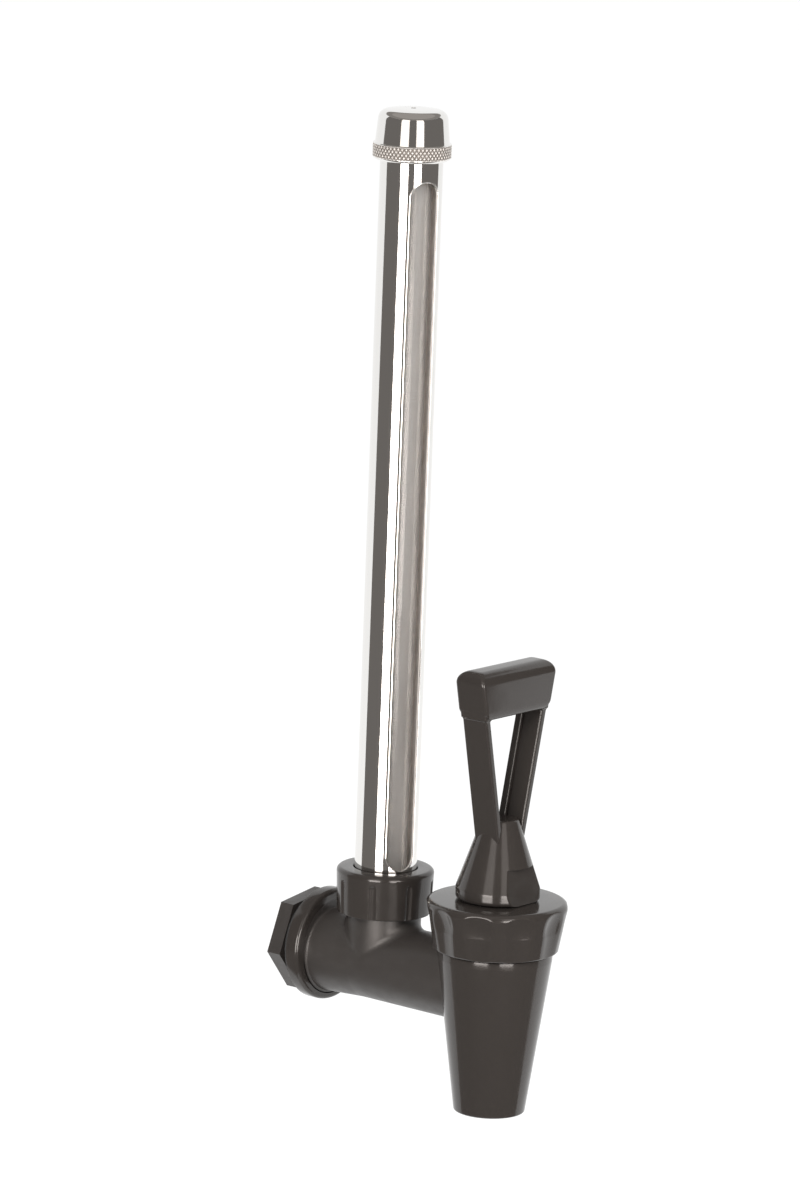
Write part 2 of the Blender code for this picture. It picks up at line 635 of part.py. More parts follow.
def build_valve(silicone, acetal, steel, valve_axis):
    seat = SEAT_LEVEL
    nose_gap = SEAT_GAP * math.sqrt(2)
    nose = SEAT_HOLE + SEAT_CHAMFER - nose_gap
    tip = seat - CUP_TIP_DROP
    tip_top = seat - (nose - CUP_TIP_RADIUS - SEAT_GAP * 2)
    shoulder_level = seat + CUP_RADIUS - nose
    inner = CUP_RADIUS - CUP_WALL
    socket_radius = BUTTON_RADIUS + RUN_GAP
    socket_floor = BUTTON_FOOT - RUN_GAP
    neck = STEM_NECK_RADIUS + RUN_GAP
    place(
        "seat_cup",
        turned(
            "seat_cup",
            [(0.0, tip), (CUP_TIP_RADIUS, tip), (CUP_TIP_RADIUS + SEAT_GAP * 2, max(tip_top, tip + SEAT_GAP))]
            + [(CUP_RADIUS, shoulder_level), (CUP_RADIUS, BRIM_FOOT), (BRIM_RADIUS, BRIM_FOOT)]
            + [(BRIM_RADIUS, BRIM_TOP), (inner, BRIM_TOP), (inner, CUP_FLOOR), (neck, CUP_FLOOR)]
            + [(neck, SOCKET_ROOF), (socket_radius, SOCKET_ROOF), (socket_radius, socket_floor), (0.0, socket_floor)],
            SMALL_STEPS,
        ),
        silicone,
        valve_axis,
    )

    head = PIN_LEVEL + PIN_RADIUS
    stem = place(
        "stem",
        turned(
            "stem",
            [(0.0, BUTTON_FOOT), (BUTTON_RADIUS - SEAT_GAP, BUTTON_FOOT), (BUTTON_RADIUS, BUTTON_FOOT + SEAT_GAP)]
            + [(BUTTON_RADIUS, BUTTON_TOP), (STEM_NECK_RADIUS, BUTTON_TOP), (STEM_NECK_RADIUS, SHOULDER_FOOT)]
            + [(SHOULDER_RADIUS, SHOULDER_FOOT), (SHOULDER_RADIUS, SHOULDER_TOP), (STEM_RADIUS, SHOULDER_TOP)]
            + [(STEM_RADIUS, head - SEAT_GAP), (STEM_RADIUS - SEAT_GAP, head), (0.0, head)],
            24,
        ),
        acetal,
        valve_axis,
    )
    half = PIN_HALF_LENGTH
    cross = turned(
        "t_head",
        [(0.0, -half), (PIN_RADIUS - SEAT_GAP, -half), (PIN_RADIUS, SEAT_GAP - half), (PIN_RADIUS, half - SEAT_GAP)]
        + [(PIN_RADIUS - SEAT_GAP, half), (0.0, half)],
        16,
    )
    shape(stem, "t_head", cross, "UNION", valve_axis, PIN_LEVEL, (0.0, math.pi / 2, 0.0))

    foot = SPRING_FOOT + WIRE_RADIUS
    top = SPRING_TOP - WIRE_RADIUS
    dead_pitch = 2 * WIRE_RADIUS + 0.2 * MM
    live_turns = COIL_TURNS - 2 * END_TURNS
    live_pitch = (top - foot - 2 * END_TURNS * dead_pitch) / live_turns
    sections = []
    count = COIL_TURNS * COIL_STEPS
    for i in range(count + 1):
        turns = i / COIL_STEPS
        live = min(max(turns - END_TURNS, 0.0), live_turns)
        height = foot + live * live_pitch + (turns - live) * dead_pitch
        angle = math.tau * turns
        outward = Vector((math.cos(angle), math.sin(angle), 0.0))
        centre = outward * COIL_RADIUS + Vector((0.0, 0.0, height))
        ring = []
        for k in range(WIRE_SIDES):
            spin = math.tau * k / WIRE_SIDES
            ring.append(centre + outward * WIRE_RADIUS * math.cos(spin) + Vector((0, 0, WIRE_RADIUS * math.sin(spin))))
        sections.append(ring)
    bm = bmesh.new()
    ring_strip(bm, sections, closed=False)
    place("valve_spring", to_mesh(bm, "valve_spring"), steel, valve_axis)


def leg_inner(height):
    """How far a leg's inner face stands from the handle's middle at a height above its foot."""
    return LEG_INNER_REACH + LEG_LEAN * (height - CONE_HEIGHT)


def bar_levels(bottom, top):
    """The cross bar's heights, each with how far its ends and its faces are rounded in there."""
    levels = []
    for i in range(4):
        turn = math.pi / 2 * i / 3
        rise = 1 - math.cos(turn)
        inset = 1 - math.sin(turn)
        levels.append((bottom + BAR_FOOT_ROUND * rise, BAR_FOOT_ROUND * inset, BAR_EDGE_ROUND * inset))
    for i in range(6):
        turn = math.pi / 2 * i / 5
        inset = 1 - math.cos(turn)
        levels.append((top - BAR_TOP_ROUND * (1 - math.sin(turn)), BAR_TOP_ROUND * inset, BAR_TOP_ROUND * inset))
    return levels


def rounded_rectangle(half_x, half_y, corner, height):
    """A closed loop of points at a height, with round corners."""
    loop = []
    for turn, side_x, side_y in ((0, 1, 1), (90, -1, 1), (180, -1, -1), (270, 1, -1)):
        middle = (side_x * (half_x - corner), side_y * (half_y - corner))
        loop += [(x, y, height) for x, y in arc(*middle, corner, turn, turn + 90, 3)]
    return loop


def build_handle(plastic, valve_axis):
    """Heights here are above the pin, which is where the handle's origin is."""
    foot = -PIN_RISE
    cone_top = foot + CONE_HEIGHT
    top_radius = CONE_RADIUS - CONE_SLOPE * (CONE_HEIGHT - CONE_SKIRT)
    cone_tilt = math.degrees(math.atan(CONE_SLOPE))
    handle = place(
        "handle",
        turned(
            "handle",
            [(0.0, foot), *arc(CONE_RADIUS - CONE_FOOT_ROUND, foot + CONE_FOOT_ROUND, CONE_FOOT_ROUND, -90, 0, 3)]
            + [(CONE_RADIUS, foot + CONE_SKIRT)]
            + arc(top_radius - CONE_TOP_ROUND, cone_top - CONE_TOP_ROUND, CONE_TOP_ROUND, cone_tilt, 90, 3)
            + [(0.0, cone_top)],
        ),
        plastic,
        valve_axis,
        PIN_LEVEL,
    )
    bar_foot = foot + BAR_RISE
    bar_top = bar_foot + BAR_HEIGHT
    leg_top = bar_foot + BAR_FOOT_ROUND
    for side, name in ((-1, "left_leg"), (1, "right_leg")):
        low = leg_inner(LEG_ROOT)
        high = leg_inner(leg_top - foot)
        base = foot + LEG_ROOT
        blade = [(side * low, base), (side * (low + LEG_THICKNESS), base)]
        blade += [(side * (high + LEG_THICKNESS), leg_top), (side * high, leg_top)]
        mesh = prism(name, blade, -LEG_DEPTH / 2, LEG_DEPTH / 2)
        shape(handle, name, mesh, "UNION", valve_axis, PIN_LEVEL)
        rib_low = leg_inner(CONE_HEIGHT - CONE_SKIRT)
        rib_base = cone_top - CONE_SKIRT
        inset = LEG_THICKNESS / 2
        rib = [(side * (rib_low - RIB_HEIGHT), rib_base), (side * (rib_low + inset), rib_base)]
        rib += [(side * (high + inset), leg_top), (side * (high - RIB_HEIGHT), leg_top)]
        back = LEG_DEPTH / 2 - SEAT_GAP / 2
        mesh = prism(name + "_rib", rib, LEG_DEPTH / 2 - RIB_WIDTH, back)
        shape(handle, name + "_rib", mesh, "UNION", valve_axis, PIN_LEVEL)

    half_foot = leg_inner(BAR_RISE) + LEG_THICKNESS + BAR_OVERHANG
    sections = []
    for level, end_inset, face_inset in bar_levels(bar_foot, bar_top):
        half_length = half_foot + LEG_LEAN * (level - bar_foot) - end_inset
        sections.append(rounded_rectangle(half_length, BAR_DEPTH / 2 - face_inset, BAR_EDGE_ROUND, level))
    bm = bmesh.new()
    ring_strip(bm, sections, closed=False)
    shape(handle, "cross_bar", to_mesh(bm, "cross_bar"), "UNION", valve_axis, PIN_LEVEL)

    reach = CONE_RADIUS + SEAT_GAP
    ledge = foot + FACET_HEIGHT
    bm = bmesh.new()
    section = [(-FACET_REACH - FACET_SLOPE * SEAT_GAP, foot - SEAT_GAP), (-2 * reach, foot - SEAT_GAP)]
    section += [(-2 * reach, ledge), (-FACET_REACH + FACET_SLOPE * FACET_HEIGHT, ledge)]
    face = bm.faces.new([bm.verts.new((-reach, y, z)) for y, z in section])
    grown = bmesh.ops.extrude_face_region(bm, geom=[face])["geom"]
    moved = [item for item in grown if isinstance(item, bmesh.types.BMVert)]
    bmesh.ops.translate(bm, verts=moved, vec=(2 * reach, 0.0, 0.0))
    shape(handle, "front_facet", to_mesh(bm, "front_facet"), "DIFFERENCE", valve_axis, PIN_LEVEL)

    ledge_level = POCKET_LEDGE - PIN_RADIUS - RUN_GAP
    cavity = turned(
        "pin_cavity",
        [(0.0, ledge_level), (CAVITY_RADIUS, ledge_level), (CAVITY_SHOULDER_RADIUS, PIN_RADIUS + RUN_GAP)]
        + [(CAVITY_TOP_RADIUS, foot + CAVITY_RISE), (0.0, foot + CAVITY_RISE)],
        SMALL_STEPS,
    )
    shape(handle, "pin_cavity", cavity, "DIFFERENCE", valve_axis, PIN_LEVEL)
    width = STEM_RADIUS + KEYWAY_GAP
    swing = PIN_RISE * math.tan(TIP_ANGLE) + STEM_RADIUS / math.cos(TIP_ANGLE) + KEYWAY_GAP
    slot = [(-width, foot - SEAT_GAP), (width, foot - SEAT_GAP), (width, 0.0), (-width, 0.0)]
    keyway = prism("keyway", slot, -swing, PIN_HALF_LENGTH + KEYWAY_GAP)
    shape(handle, "keyway", keyway, "DIFFERENCE", valve_axis, PIN_LEVEL)
    pocket_half = PIN_HALF_LENGTH + KEYWAY_GAP
    pocket_radius = PIN_RADIUS + RUN_GAP
    pocket = turned(
        "pin_pocket",
        [(0.0, -pocket_half), (pocket_radius, -pocket_half), (pocket_radius, pocket_half), (0.0, pocket_half)],
        16,
    )
    shape(handle, "pin_pocket", pocket, "DIFFERENCE", valve_axis, PIN_LEVEL, (0.0, math.pi / 2, 0.0))


def build():
    clear_scene()
    plastic = finish("black_plastic", (0.018, 0.016, 0.015), 0.16)
    chrome = finish("chrome", (0.82, 0.82, 0.82), 0.06, 1.0)
    clear = finish("clear_tube", (0.86, 0.87, 0.87), 0.05, 0.0, 0.85)
    rubber = finish("black_rubber", (0.03, 0.03, 0.03), 0.7)
    silicone = finish("silicone", (0.75, 0.74, 0.7), 0.5)
    acetal = finish("white_acetal", (0.8, 0.8, 0.77), 0.35)
    steel = finish("spring_steel", (0.6, 0.6, 0.6), 0.3, 1.0)
    gauge_axis = axis_marker("gauge_axis", (0.0, -GAUGE_REACH, 0.0))
    valve_axis = axis_marker("valve_axis", (0.0, -VALVE_REACH, 0.0))
    build_body(plastic, gauge_axis, valve_axis)
    build_shank_fixing(plastic, rubber)
    build_gauge(plastic, rubber, chrome, clear, gauge_axis)
    build_bonnet(plastic, valve_axis)
    build_valve(silicone, acetal, steel, valve_axis)
    build_handle(plastic, valve_axis)


build()
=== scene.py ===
"""Looks of a self-closing beverage dispenser spigot with a sight gauge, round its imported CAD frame."""

import math

import bpy
import numpy as np
from mathutils import Matrix, Vector


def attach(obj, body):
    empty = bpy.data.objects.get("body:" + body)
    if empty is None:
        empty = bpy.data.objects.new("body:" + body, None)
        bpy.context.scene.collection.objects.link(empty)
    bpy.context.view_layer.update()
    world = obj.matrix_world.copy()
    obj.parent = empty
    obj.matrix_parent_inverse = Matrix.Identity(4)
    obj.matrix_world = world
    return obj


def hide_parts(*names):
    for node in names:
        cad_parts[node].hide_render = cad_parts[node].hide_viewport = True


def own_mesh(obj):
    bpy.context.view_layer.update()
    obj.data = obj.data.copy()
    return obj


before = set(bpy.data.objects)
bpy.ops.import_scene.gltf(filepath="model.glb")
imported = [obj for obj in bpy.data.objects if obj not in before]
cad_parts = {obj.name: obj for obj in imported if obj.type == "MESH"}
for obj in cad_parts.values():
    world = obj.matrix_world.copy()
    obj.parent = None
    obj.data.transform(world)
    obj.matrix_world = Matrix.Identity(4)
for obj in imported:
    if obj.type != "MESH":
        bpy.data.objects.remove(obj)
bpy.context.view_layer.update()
scene = bpy.context.scene

# The camera stands where the photographer's did: 50 degrees round to the user's left and 12 degrees
# up, with a long lens and the slight clockwise lean of the photograph.
VIEW_AROUND = math.radians(-50.4)
VIEW_UP = math.radians(11.66)
VIEW_LEAN = math.radians(2.13)
VIEW_DISTANCE = 2.2
LENS_IN_PICTURE_HEIGHTS = 7312 / 1199
VIEW_MIDDLE_Y = -0.036
VIEW_MIDDLE_Z = 0.110125
VIEW_LEFT = 0.00786
VIEW_RAISED = 0.00243
toward = Vector(
    (
        math.sin(VIEW_AROUND) * math.cos(VIEW_UP),
        -math.cos(VIEW_AROUND) * math.cos(VIEW_UP),
        math.sin(VIEW_UP),
    )
)
rightward = Vector((math.cos(VIEW_AROUND), math.sin(VIEW_AROUND), 0.0))
upward = toward.cross(rightward)
aim = Vector((0.0, VIEW_MIDDLE_Y, VIEW_MIDDLE_Z))
view_centre = aim - VIEW_LEFT * rightward + VIEW_RAISED * upward
leaned_right = math.cos(VIEW_LEAN) * rightward + math.sin(VIEW_LEAN) * upward
leaned_up = math.cos(VIEW_LEAN) * upward - math.sin(VIEW_LEAN) * rightward
camera_data = bpy.data.cameras.new("camera")
camera_data.sensor_fit = "VERTICAL"
camera_data.sensor_height = 24.0
camera_data.lens = LENS_IN_PICTURE_HEIGHTS * camera_data.sensor_height
camera_data.clip_end = 20.0
camera = bpy.data.objects.new("camera", camera_data)
turn = Matrix((leaned_right, leaned_up, toward)).transposed()
camera.matrix_world = Matrix.Translation(view_centre + VIEW_DISTANCE * toward) @ turn.to_4x4()
scene.collection.objects.link(camera)
scene.camera = camera
scene.view_settings.view_transform = "Standard"


# A white room. Its light on the object is soft and plain, while the camera, mirrors and glass see
# it as white paper.
def seen_directly(tree):
    """1 for a ray from the camera, a mirror or glass, and 0 for light that falls on a surface."""
    path = tree.nodes.new("ShaderNodeLightPath")
    total = path.outputs["Is Camera Ray"]
    for name in ("Is Glossy Ray", "Is Transmission Ray"):
        both = tree.nodes.new("ShaderNodeMath")
        both.operation = "MAXIMUM"
        tree.links.new(total, both.inputs[0])
        tree.links.new(path.outputs[name], both.inputs[1])
        total = both.outputs[0]
    return total


ROOM_LIGHT = 0.55
room = bpy.data.worlds.new("room")
room.use_nodes = True
tree = room.node_tree
lit = tree.nodes["Background"]
lit.inputs["Color"].default_value = (1.0, 1.0, 1.0, 1.0)
lit.inputs["Strength"].default_value = ROOM_LIGHT
paper = tree.nodes.new("ShaderNodeBackground")
paper.inputs["Color"].default_value = (1.0, 1.0, 1.0, 1.0)
paper.inputs["Strength"].default_value = 1.0
choice = tree.nodes.new("ShaderNodeMixShader")
tree.links.new(seen_directly(tree), choice.inputs["Fac"])
tree.links.new(lit.outputs["Background"], choice.inputs[1])
tree.links.new(paper.outputs["Background"], choice.inputs[2])
tree.links.new(choice.outputs["Shader"], tree.nodes["World Output"].inputs["Surface"])
scene.world = room

# The floor is a wide level sheet, pale and matt. The camera, mirrors and glass see it near white,
# with the soft shadow that the lamps throw on it.
FLOOR_REACH = 8.0
FLOOR_LEVEL = -0.16
FLOOR_GLOW = 0.86
floor_mesh = bpy.data.meshes.new("floor")
floor_mesh.from_pydata(
    [
        (-FLOOR_REACH, -FLOOR_REACH, FLOOR_LEVEL),
        (FLOOR_REACH, -FLOOR_REACH, FLOOR_LEVEL),
        (FLOOR_REACH, FLOOR_REACH, FLOOR_LEVEL),
        (-FLOOR_REACH, FLOOR_REACH, FLOOR_LEVEL),
    ],
    [],
    [(0, 1, 2, 3)],
)
floor = bpy.data.objects.new("floor", floor_mesh)
scene.collection.objects.link(floor)
pale = bpy.data.materials.new("pale_floor")
pale.use_nodes = True
tree = pale.node_tree
shader = tree.nodes["Principled BSDF"]
shader.inputs["Base Color"].default_value = (0.86, 0.86, 0.86, 1.0)
shader.inputs["Roughness"].default_value = 0.9
glow = tree.nodes.new("ShaderNodeEmission")
glow.inputs["Strength"].default_value = FLOOR_GLOW
shade = tree.nodes.new("ShaderNodeBsdfDiffuse")
shade.inputs["Color"].default_value = (0.26, 0.26, 0.26, 1.0)
white = tree.nodes.new("ShaderNodeAddShader")
tree.links.new(glow.outputs["Emission"], white.inputs[0])
tree.links.new(shade.outputs["BSDF"], white.inputs[1])
choice = tree.nodes.new("ShaderNodeMixShader")
tree.links.new(seen_directly(tree), choice.inputs["Fac"])
tree.links.new(shader.outputs["BSDF"], choice.inputs[1])
tree.links.new(white.outputs["Shader"], choice.inputs[2])
tree.links.new(choice.outputs["Shader"], tree.nodes["Material Output"].inputs["Surface"])
floor_mesh.materials.append(pale)

# Two soft square lamps light the front from above: a smaller one to the camera's left, and a wider
# one to its right. Mirrors don't see them.
LAMP_AIM = Vector((0.0, -0.04, 0.1))
for name, around, up, distance, size, power in (
    ("key_lamp", -22.0, 26.0, 1.3, 0.5, 14.0),
    ("fill_lamp", 58.0, 22.0, 1.5, 0.8, 13.0),
):
    lamp = bpy.data.lights.new(name, "AREA")
    lamp.shape = "SQUARE"
    lamp.size = size
    lamp.energy = power
    holder = bpy.data.objects.new(name, lamp)
    bearing = VIEW_AROUND + math.radians(around)
    away = Vector(
        (
            math.sin(bearing) * math.cos(math.radians(up)),
            -math.cos(bearing) * math.cos(math.radians(up)),
            math.sin(math.radians(up)),
        )
    )
    place = Matrix.Translation(LAMP_AIM + distance * away)
    holder.matrix_world = place @ away.to_track_quat("Z", "Y").to_matrix().to_4x4()
    holder.visible_glossy = False
    scene.collection.objects.link(holder)

# Round the object stand boards that only shiny surfaces see, as in a photographer's tent: two bright
# soft boxes in front, and dark boards beside, between, above and below them. They give the chrome
# its bands and the plastic its narrow highlights.
BOARD_DISTANCE = 0.7
BOARD_STEPS = 24
BOX_GLARE_TOP = 0.2
BOX_TOP = 0.7
WING_FOOT = 0.05
ROOF_MIDDLE = 0.4
ROOF_POLE = 0.001
TABLE_START = 0.12
TABLE_LEVEL = FLOOR_LEVEL + 0.002
LEFT_END = -100.0
LEFT_BOX_START = -38.5
LEFT_BOX_END = -12.0
RIGHT_BOX_START = 11.5
RIGHT_BOX_END = 36.0
RIGHT_END = 94.0
WING_END = 116.0
DARK = 0.15
BOX_GLARE = 9.0
BOX_HEAD = 1.6
ROOF_RIM_GLOW = 0.24
ROOF_MIDDLE_GLOW = 0.34
TABLE_GLOW = 0.25


def board(name, first, last, foot, head, strength):
    """A strip of a drum round the object, or of its lid: straight lines between a lower and an
    upper arc. Each arc is (radius, height), and its bearings run from first to last, counted from
    the camera's."""
    glow = bpy.data.materials.new(name)
    glow.use_nodes = True
    shader = glow.node_tree.nodes["Principled BSDF"]
    shader.inputs["Base Color"].default_value = (0.0, 0.0, 0.0, 1.0)
    shader.inputs["Roughness"].default_value = 1.0
    shader.inputs["Emission Color"].default_value = (1.0, 0.93, 0.88, 1.0)
    shader.inputs["Emission Strength"].default_value = strength
    bearing = VIEW_AROUND + np.radians(np.linspace(first, last, BOARD_STEPS + 1))
    rows = []
    for radius, height in (foot, head):
        x = radius * np.sin(bearing)
        y = VIEW_MIDDLE_Y - radius * np.cos(bearing)
        rows.append(np.stack((x, y, 0 * bearing + height), axis=-1))
    step = np.arange(len(bearing) - 1)
    faces = np.stack((step, step + 1, step + 1 + len(bearing), step + len(bearing)), axis=-1)
    mesh = bpy.data.meshes.new(name)
    mesh.from_pydata(np.vstack(rows).tolist(), [], faces.tolist())
    mesh.materials.append(glow)
    piece = bpy.data.objects.new(name, mesh)
    scene.collection.objects.link(piece)
    piece.visible_camera = False
    piece.visible_diffuse = False
    piece.visible_transmission = False
    piece.visible_shadow = False


floor_edge = (BOARD_DISTANCE, FLOOR_LEVEL)
glare_edge = (BOARD_DISTANCE, BOX_GLARE_TOP)
roof_edge = (BOARD_DISTANCE, BOX_TOP)
roof_ring = (ROOF_MIDDLE, BOX_TOP)
wing_edge = (BOARD_DISTANCE, WING_FOOT)
table_start = (TABLE_START, TABLE_LEVEL)
table_edge = (BOARD_DISTANCE, TABLE_LEVEL)
board("left_board", LEFT_END, LEFT_BOX_START, floor_edge, roof_edge, DARK)
board("left_box", LEFT_BOX_START, LEFT_BOX_END, floor_edge, glare_edge, BOX_GLARE)
board("left_box_head", LEFT_BOX_START, LEFT_BOX_END, glare_edge, roof_edge, BOX_HEAD)
board("middle_board", LEFT_BOX_END, RIGHT_BOX_START, floor_edge, roof_edge, DARK)
board("right_box", RIGHT_BOX_START, RIGHT_BOX_END, floor_edge, glare_edge, BOX_GLARE)
board("right_box_head", RIGHT_BOX_START, RIGHT_BOX_END, glare_edge, roof_edge, BOX_HEAD)
board("right_board", RIGHT_BOX_END, RIGHT_END, floor_edge, roof_edge, DARK)
board("right_wing", RIGHT_END, WING_END, wing_edge, roof_edge, DARK)
board("roof_rim", -180.0, 180.0, roof_edge, roof_ring, ROOF_RIM_GLOW)
board("roof_middle", -180.0, 180.0, roof_ring, (ROOF_POLE, BOX_TOP), ROOF_MIDDLE_GLOW)
board("table_board", LEFT_END, RIGHT_END, table_start, table_edge, TABLE_GLOW)


# The faucet's body is one black moulding, and the valve's housing is its front part: an upright
# tube that narrows downwards into the spout. The bonnet screws on the neck at its top, and a web
# inside has the port that the valve shuts.
def rounded(corners, steps=6):
    """A profile through (radius, height, rounding) corners. Each corner becomes the arc of that
    rounding that touches both its sides: its centre is on the corner's bisector, and it is
    rounding / sin(half angle) away."""
    path = np.array([corner[:2] for corner in corners])
    parts = [path[:1]]
    for before, corner, after, (*_, size) in zip(path, path[1:], path[2:], corners[1:-1]):
        if size == 0.0:
            parts.append(corner[None])
            continue
        back = (before - corner) / np.linalg.norm(before - corner)
        on = (after - corner) / np.linalg.norm(after - corner)
        half = math.acos(np.clip(back @ on, -1.0, 1.0)) / 2
        centre = corner + (back + on) / np.linalg.norm(back + on) * size / math.sin(half)
        first = corner + back * size / math.tan(half) - centre
        last = corner + on * size / math.tan(half) - centre
        sweep = math.pi - 2 * half
        share = np.linspace(0.0, 1.0, steps + 1)[:, None]
        arc = np.sin((1 - share) * sweep) * first + np.sin(share * sweep) * last
        parts.append(centre + arc / math.sin(sweep))
    parts.append(path[-1:])
    return np.vstack(parts)


def turned(radius, height, columns, middle_y=0.0):
    """Sweeps radius and height once round an upright axis: x is radius times cos a, y is middle_y
    plus radius times sin a, and z is height."""
    around = np.arange(columns) * math.tau / columns
    radius = np.atleast_2d(radius.T).T
    height = np.atleast_2d(height.T).T
    x = radius * np.cos(around)
    y = radius * np.sin(around) + middle_y
    return np.stack((x, y, np.broadcast_to(height, x.shape)), axis=-1)


def surface(name, points, loop=False, poles=()):
    """A skin over rows of points in millimetres. Each row runs once round, and faces join it to
    the next row. A loop joins the last row to the first, and two poles close the ends with fans.
    Edges that turn by more than 35 degrees stay sharp."""
    count, columns = points.shape[:2]
    rows = np.arange(count * columns).reshape(count, columns)
    row = rows if loop else rows[:-1]
    following = np.roll(rows, -1, axis=0) if loop else rows[1:]
    turned_row = np.roll(row, -1, axis=1)
    turned_following = np.roll(following, -1, axis=1)
    faces = np.stack((row, turned_row, turned_following, following), axis=-1)
    faces = faces.reshape(-1, 4).tolist()
    corners = points.reshape(-1, 3)
    if poles:
        first_tip = np.full(columns, len(corners))
        last_tip = first_tip + 1
        corners = np.vstack((corners, poles))
        faces += np.stack((first_tip, np.roll(rows[0], -1), rows[0]), axis=-1).tolist()
        faces += np.stack((rows[-1], np.roll(rows[-1], -1), last_tip), axis=-1).tolist()
    mesh = bpy.data.meshes.new(name)
    mesh.from_pydata((corners * 0.001).tolist(), [], faces)
    mesh.shade_smooth()
    mesh.set_sharp_from_angle(angle=math.radians(35.0))
    piece = bpy.data.objects.new(name, mesh)
    scene.collection.objects.link(piece)
    return piece


def fit(piece, material, body, node):
    """Gives a piece its finish, and fixes it to its body in the CAD node's place."""
    piece.data.materials.append(material)
    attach(piece, body)
    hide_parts(node)


def uneven(tree, scale, detail=3.0, stretch=(1.0, 1.0, 1.0)):
    """Noise in the object's own metres. Scale is patches per metre, and a stretch below 1 draws
    them out along its axis."""
    place = tree.nodes.new("ShaderNodeTexCoord")
    mapping = tree.nodes.new("ShaderNodeMapping")
    mapping.inputs["Scale"].default_value = stretch
    noise = tree.nodes.new("ShaderNodeTexNoise")
    noise.inputs["Scale"].default_value = scale
    noise.inputs["Detail"].default_value = detail
    tree.links.new(place.outputs["Object"], mapping.inputs["Vector"])
    tree.links.new(mapping.outputs["Vector"], noise.inputs["Vector"])
    return noise.outputs["Fac"]


def finish(name, colour, low, high, scale, detail=3.0, stretch=(1.0, 1.0, 1.0)):
    """A material of one colour. Its roughness goes from low to high with the middle part of an
    uneven noise."""
    material = bpy.data.materials.new(name)
    material.use_nodes = True
    tree = material.node_tree
    shader = tree.nodes["Principled BSDF"]
    shader.inputs["Base Color"].default_value = (*colour, 1.0)
    spread = tree.nodes.new("ShaderNodeMapRange")
    spread.inputs["From Min"].default_value = 0.3
    spread.inputs["From Max"].default_value = 0.7
    spread.inputs["To Min"].default_value = low
    spread.inputs["To Max"].default_value = high
    tree.links.new(uneven(tree, scale, detail, stretch), spread.inputs["Value"])
    tree.links.new(spread.outputs["Result"], shader.inputs["Roughness"])
    return material, tree, shader


def raised(tree, shader, source, depth):
    """Lifts the surface by up to depth metres where source is high."""
    bump = tree.nodes.new("ShaderNodeBump")
    bump.inputs["Distance"].default_value = depth
    tree.links.new(source, bump.inputs["Height"])
    tree.links.new(bump.outputs["Normal"], shader.inputs["Normal"])


def moulded(name, colour, low, high):
    """Black plastic with the faint waves that a moulding gets as it cools."""
    material, tree, shader = finish(name, colour, low, high, scale=260.0, detail=4.0)
    shader.inputs["IOR"].default_value = 1.5
    raised(tree, shader, uneven(tree, scale=140.0, detail=5.0), depth=0.00004)
    return material


plastic = moulded("moulded_plastic", (0.031, 0.026, 0.023), low=0.1, high=0.18)
VALVE_Y = -68.05
SPOUT_TIP = -39.5
SPOUT_RADIUS = 10.76
SPOUT_BORE = 8.55
TIP_CHAMFER = 0.4
HOUSING_BAND = 8.2
HOUSING_RADIUS = 17.3
SHOULDER_LEVEL = 10.525
SHOULDER_RADIUS = 17.4
HOUSING_NECK = 17.1
HOUSING_TOP = 21.025
CHAMBER_RADIUS = 13.4
SEAT = -10.5
SEAT_RADIUS = 12.376
PORT_RADIUS = 5.2
PORT_CHAMFER = 1.6
WEB_FOOT = -13.3
WEB_RADIUS = 12.0
housing = rounded(
    [
        (SPOUT_BORE, SPOUT_TIP + TIP_CHAMFER, 0.0),
        (SPOUT_BORE + TIP_CHAMFER, SPOUT_TIP, 0.0),
        (SPOUT_RADIUS, SPOUT_TIP, 0.7),
        (HOUSING_RADIUS, HOUSING_BAND, 1.2),
        (SHOULDER_RADIUS, SHOULDER_LEVEL, 0.2),
        (HOUSING_NECK, SHOULDER_LEVEL, 0.0),
        (HOUSING_NECK, HOUSING_TOP, 0.3),
        (CHAMBER_RADIUS, HOUSING_TOP, 0.3),
        (SEAT_RADIUS, SEAT, 0.4),
        (PORT_RADIUS + PORT_CHAMFER, SEAT, 0.2),
        (PORT_RADIUS, SEAT - PORT_CHAMFER, 0.2),
        (PORT_RADIUS, WEB_FOOT, 0.2),
        (WEB_RADIUS, WEB_FOOT, 0.6),
        (SPOUT_BORE, SPOUT_TIP + TIP_CHAMFER, 0.0),
    ]
)[:-1]
points = turned(housing[:, 0], housing[:, 1], columns=192, middle_y=VALVE_Y)
fit(surface("valve_housing", points, loop=True), plastic, "faucet", "faucet_body")

# The barrel, the flange and the threaded shank are the same moulding, duller except on the flange.
# The barrel lies lower than the shank, swells to the flange, and ends inside the housing's wall.
# The thread's groove is a trapezium that climbs one pitch for each turn.
satin = moulded("satin_plastic", (0.037, 0.032, 0.029), low=0.32, high=0.44)
BARREL_AXIS = -1.5
BARREL_RADIUS = 12.025
BARREL_START = -54.0
BARREL_SWELL = -20.0
BARREL_ROOT = 12.9
FLANGE_FRONT = -4.5
FLANGE_RADIUS = 17.325
SHANK_RADIUS = 10.325
SHANK_END = 10.4
SHANK_CHAMFER = 0.8
BORE_RADIUS = 7.325
SHANK_ROOT = 0.4
THREAD_ROWS_START = 0.5
THREAD_ROW_STEP = 0.1
THREAD_START = 0.9
THREAD_PITCH = 1.5
THREAD_DEPTH = 0.7
THREAD_FLANK = 1.6
THREAD_CREST = 0.3
SUNK_END = 1.5
barrel = rounded(
    [
        (BARREL_RADIUS, BARREL_START, 0.0),
        (BARREL_RADIUS, BARREL_SWELL, 8.0),
        (BARREL_ROOT, FLANGE_FRONT, 0.7),
        (BARREL_ROOT + 1.0, FLANGE_FRONT, 0.0),
    ]
)
